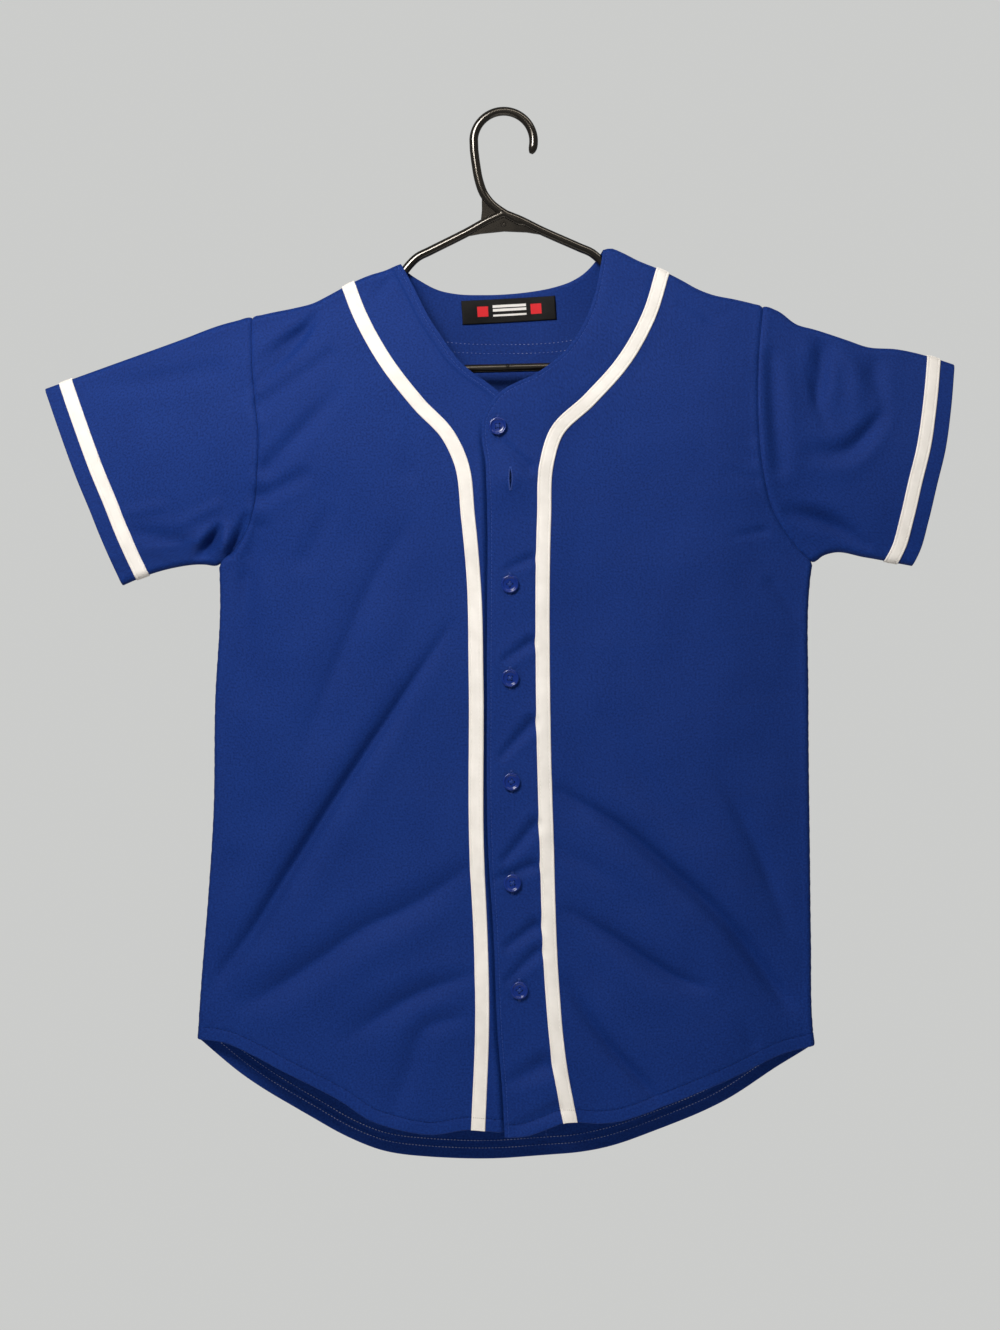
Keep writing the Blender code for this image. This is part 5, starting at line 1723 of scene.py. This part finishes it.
HANGER_SHIFT = -1.9
ROD_SIDES = 22
ROD_STEP = 3.0
TIP_SHARES = (0.45, 0.8, 0.96)
STEM_END_SHARE = 0.6
PLATE_EDGE = 0.5
WEB = ((-17.5, -67.0), (-3.0, -79.6), (-12.0, -84.0), (-18.5, -86.6), (-17.4, -76.0))
WEB_THICKNESS = 2.4
BOSSES = (((-0.3, -86.8), 2.3, 2.3), ((2.9, -200.4), 1.5, 4.2))  # spot, radius, height


def tilted(points):
    """Points of the hanger's plane, as it hangs."""
    angle = math.radians(HANGER_TILT)
    x, z = np.asarray(points, dtype=float).T
    return np.stack([x * math.cos(angle) - z * math.sin(angle) + HANGER_SHIFT,
                     x * math.sin(angle) + z * math.cos(angle)], axis=1)


def in_plane(points):
    """Flat points as points in space."""
    return np.stack([points[:, 0], np.zeros(len(points)), points[:, 1]], axis=1)


def rod_path():
    """Closed middle line of the rod."""
    half = np.array(HANGER_HALF)
    loop = tilted(np.vstack([half, half[1:-1][::-1] * [-1.0, 1.0]]))
    dense = spline(np.vstack([loop[-1:], loop, loop[:2]]), ROD_STEP)
    start = nearest(loop[:1], dense)[1][0]
    end = len(dense) - 1 - nearest(loop[:1], dense[::-1])[1][0]
    return dense[int(round(start)):int(round(end))]


def hook_path():
    """Middle line of the hook, from its tip down its stem."""
    angles = np.radians(np.arange(HOOK_START, 181.0, 5.0))
    arc = np.stack([HOOK_RADIUS * np.cos(angles),
                    HOOK_RADIUS * np.sin(angles) - HOOK_RADIUS + ROD_RADIUS], axis=1)
    return np.vstack([arc, spline(HOOK_STEM, ROD_STEP)])


def rod_loop():
    """The rod as a closed ring."""
    path = in_plane(rod_path())
    ahead = np.roll(path, -1, axis=0) - np.roll(path, 1, axis=0)
    ahead /= np.linalg.norm(ahead, axis=1)[:, None]
    across = np.stack([ahead[:, 2], np.zeros(len(path)), -ahead[:, 0]], axis=1)
    turn = 2 * math.pi * np.arange(ROD_SIDES) / ROD_SIDES
    vertices = (path[:, None] + ROD_RADIUS * (
        np.cos(turn)[None, :, None] * across[:, None]
        + np.sin(turn)[None, :, None] * np.array([0.0, 1.0, 0.0]))).reshape(-1, 3)
    return facing_out(vertices, band_faces(len(path), ROD_SIDES, closed=True))


def hook_rod():
    """The hook with its rounded tip."""
    path = in_plane(hook_path())
    radii = np.full(len(path), ROD_RADIUS)
    radii[:len(TIP_SHARES)] *= TIP_SHARES
    radii[-1] *= STEM_END_SHARE
    return tube(path, radii, ROD_SIDES)


def plate(outline, thickness):
    """Flat plate in the plane of the hanger with a bevelled rim."""
    outline = np.asarray(outline, dtype=float)
    middle = outline.mean(axis=0)
    small = middle + (outline - middle) * (1 - PLATE_EDGE / np.linalg.norm(
        outline - middle, axis=1))[:, None]
    half = thickness / 2
    vertices = [(x, y, z) for y, rim in ((-half, small), (-half + PLATE_EDGE, outline),
                                         (half - PLATE_EDGE, outline), (half, small))
                for x, z in rim]
    count = len(outline)
    faces = [tuple(range(count)), tuple(range(4 * count - 1, 3 * count - 1, -1))]
    faces += [face[::-1] for face in band_faces(4, count)]
    return facing_out(np.array(vertices), faces)


def boss(spot, radius, height, facing):
    """Small round boss with a dimple, standing out of the hanger's face."""
    rings = ((0.0, 0.2), (radius, 0.2), (radius, height - 0.35), (radius - 0.35, height),
             (0.55 * radius, height), (0.4 * radius, height - 0.5), (0.0, height - 0.6))
    vertices, faces = closed_disc(rings, 18)
    x, y, z = vertices.T
    turned = np.stack([x + spot[0], facing * z, facing * -y + spot[1]], axis=1)
    return facing_out(turned, faces)


def hanger():
    """One moulded piece."""
    body = plain_object("hanger_made", *rod_loop())
    blanks = [("hook_blank", hook_rod()), ("gusset_blank", plate(GUSSET, GUSSET_THICKNESS)),
              ("web_blank", plate(WEB, WEB_THICKNESS))]
    blanks += [("boss_blank", boss(spot, radius, height, facing))
               for spot, radius, height in BOSSES for facing in (-1.0, 1.0)]
    for name, solid in blanks:
        combine(body, plain_object(name, *solid), "UNION")
    finish_solid(body.data, hanger_material, 40)
    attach(body, "root")
    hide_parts("hanger")


hanger()


# Floor, light and camera

FLOOR_LEVEL = -1300.0
FLOOR_RADIUS = 1000.0
FLOOR_RINGS = 5
FLOOR_SIDES = 64
DAYLIGHT = (1.0, 0.98, 0.95)
LIGHTS = (  # name, place, aim, size, power, colour, seen in shine
    ("key", (-0.47, -1.06, 0.38), (0.03, 0.0, -0.42), (0.55, 0.46), 22.6, DAYLIGHT, True),
    ("overhead", (0.42, -0.78, 0.92), (0.03, 0.0, -0.1), (1.5, 0.2), 4.6, (1.0, 0.93, 0.82), True),
    ("low", (-0.1, -0.72, -1.16), (0.0, 0.0, -0.83), (0.9, 0.2), 1.8, DAYLIGHT, False),
    ("behind", (0.88, 1.0, 0.34), (0.0, 0.0, -0.46), (0.5, 0.5), 29.0, DAYLIGHT, False),
)
BACKDROP = (0.60, 0.605, 0.595, 1.0)
BACKDROP_LIGHT = 0.21
SENSOR = 36.0
PHOTO_HEIGHT = 1064.0
CAMERA_DISTANCE = 1900.0
CAMERA_X = -2.9
CAMERA_Z = -439.5


def floor():
    """Round floor far below."""
    turn = 2 * math.pi * np.arange(FLOOR_SIDES) / FLOOR_SIDES
    vertices = [(0.0, 0.0, FLOOR_LEVEL)]
    for r in np.linspace(FLOOR_RADIUS / FLOOR_RINGS, FLOOR_RADIUS, FLOOR_RINGS):
        vertices.extend((r * math.cos(t), r * math.sin(t), FLOOR_LEVEL) for t in turn)
    faces = [(0, 1 + k, 1 + (k + 1) % FLOOR_SIDES) for k in range(FLOOR_SIDES)]
    faces += [face[::-1] for face in band_faces(FLOOR_RINGS, FLOOR_SIDES, first=1)]
    ground = plain_object("floor", vertices, faces)
    ground.data.materials.append(material("pale_floor", {
        "Roughness": 0.8, "Base Color": (0.62, 0.61, 0.59, 1.0)})[0])


def area_light(name, place, aim, size, power, colour, in_shine):
    """Soft lamp turned to a point."""
    light = bpy.data.lights.new(name, "AREA")
    light.shape = "RECTANGLE"
    light.size, light.size_y = size
    light.energy = power
    light.color = colour
    lamp = added(bpy.data.objects.new(name, light))
    lamp.location = place
    lamp.visible_camera = False
    lamp.visible_glossy = in_shine
    toward = np.array(aim) - np.array(place)
    yaw = math.atan2(toward[0], toward[1])
    pitch = math.atan2(toward[2], math.hypot(toward[0], toward[1]))
    lamp.rotation_euler = (math.pi / 2 + pitch, 0.0, -yaw)


def studio():
    """Floor, lights and backdrop."""
    floor()
    for light in LIGHTS:
        area_light(*light)
    world = bpy.data.worlds.new("studio")
    bpy.context.scene.world = world
    world.use_nodes = True
    tree = world.node_tree
    background = tree.nodes["Background"]
    background.inputs["Color"].default_value = BACKDROP
    seen = tree.nodes.new("ShaderNodeLightPath").outputs["Is Camera Ray"]
    tree.links.new(spread_value(tree, seen, BACKDROP_LIGHT, 1.0), background.inputs["Strength"])
    bpy.context.scene.view_settings.view_transform = "Standard"


def camera():
    """Camera that frames the garment as the photo does."""
    lens = bpy.data.cameras.new("camera")
    lens.sensor_fit = "VERTICAL"
    lens.sensor_height = SENSOR
    lens.lens = SENSOR * CAMERA_DISTANCE / PHOTO_HEIGHT
    lens.clip_start = 0.05
    holder = added(bpy.data.objects.new("camera", lens))
    holder.location = (CAMERA_X * MM, -CAMERA_DISTANCE * MM, CAMERA_Z * MM)
    holder.rotation_euler = (math.pi / 2, 0.0, 0.0)
    bpy.context.scene.camera = holder


studio()
camera()


bpy.context.view_layer.update()
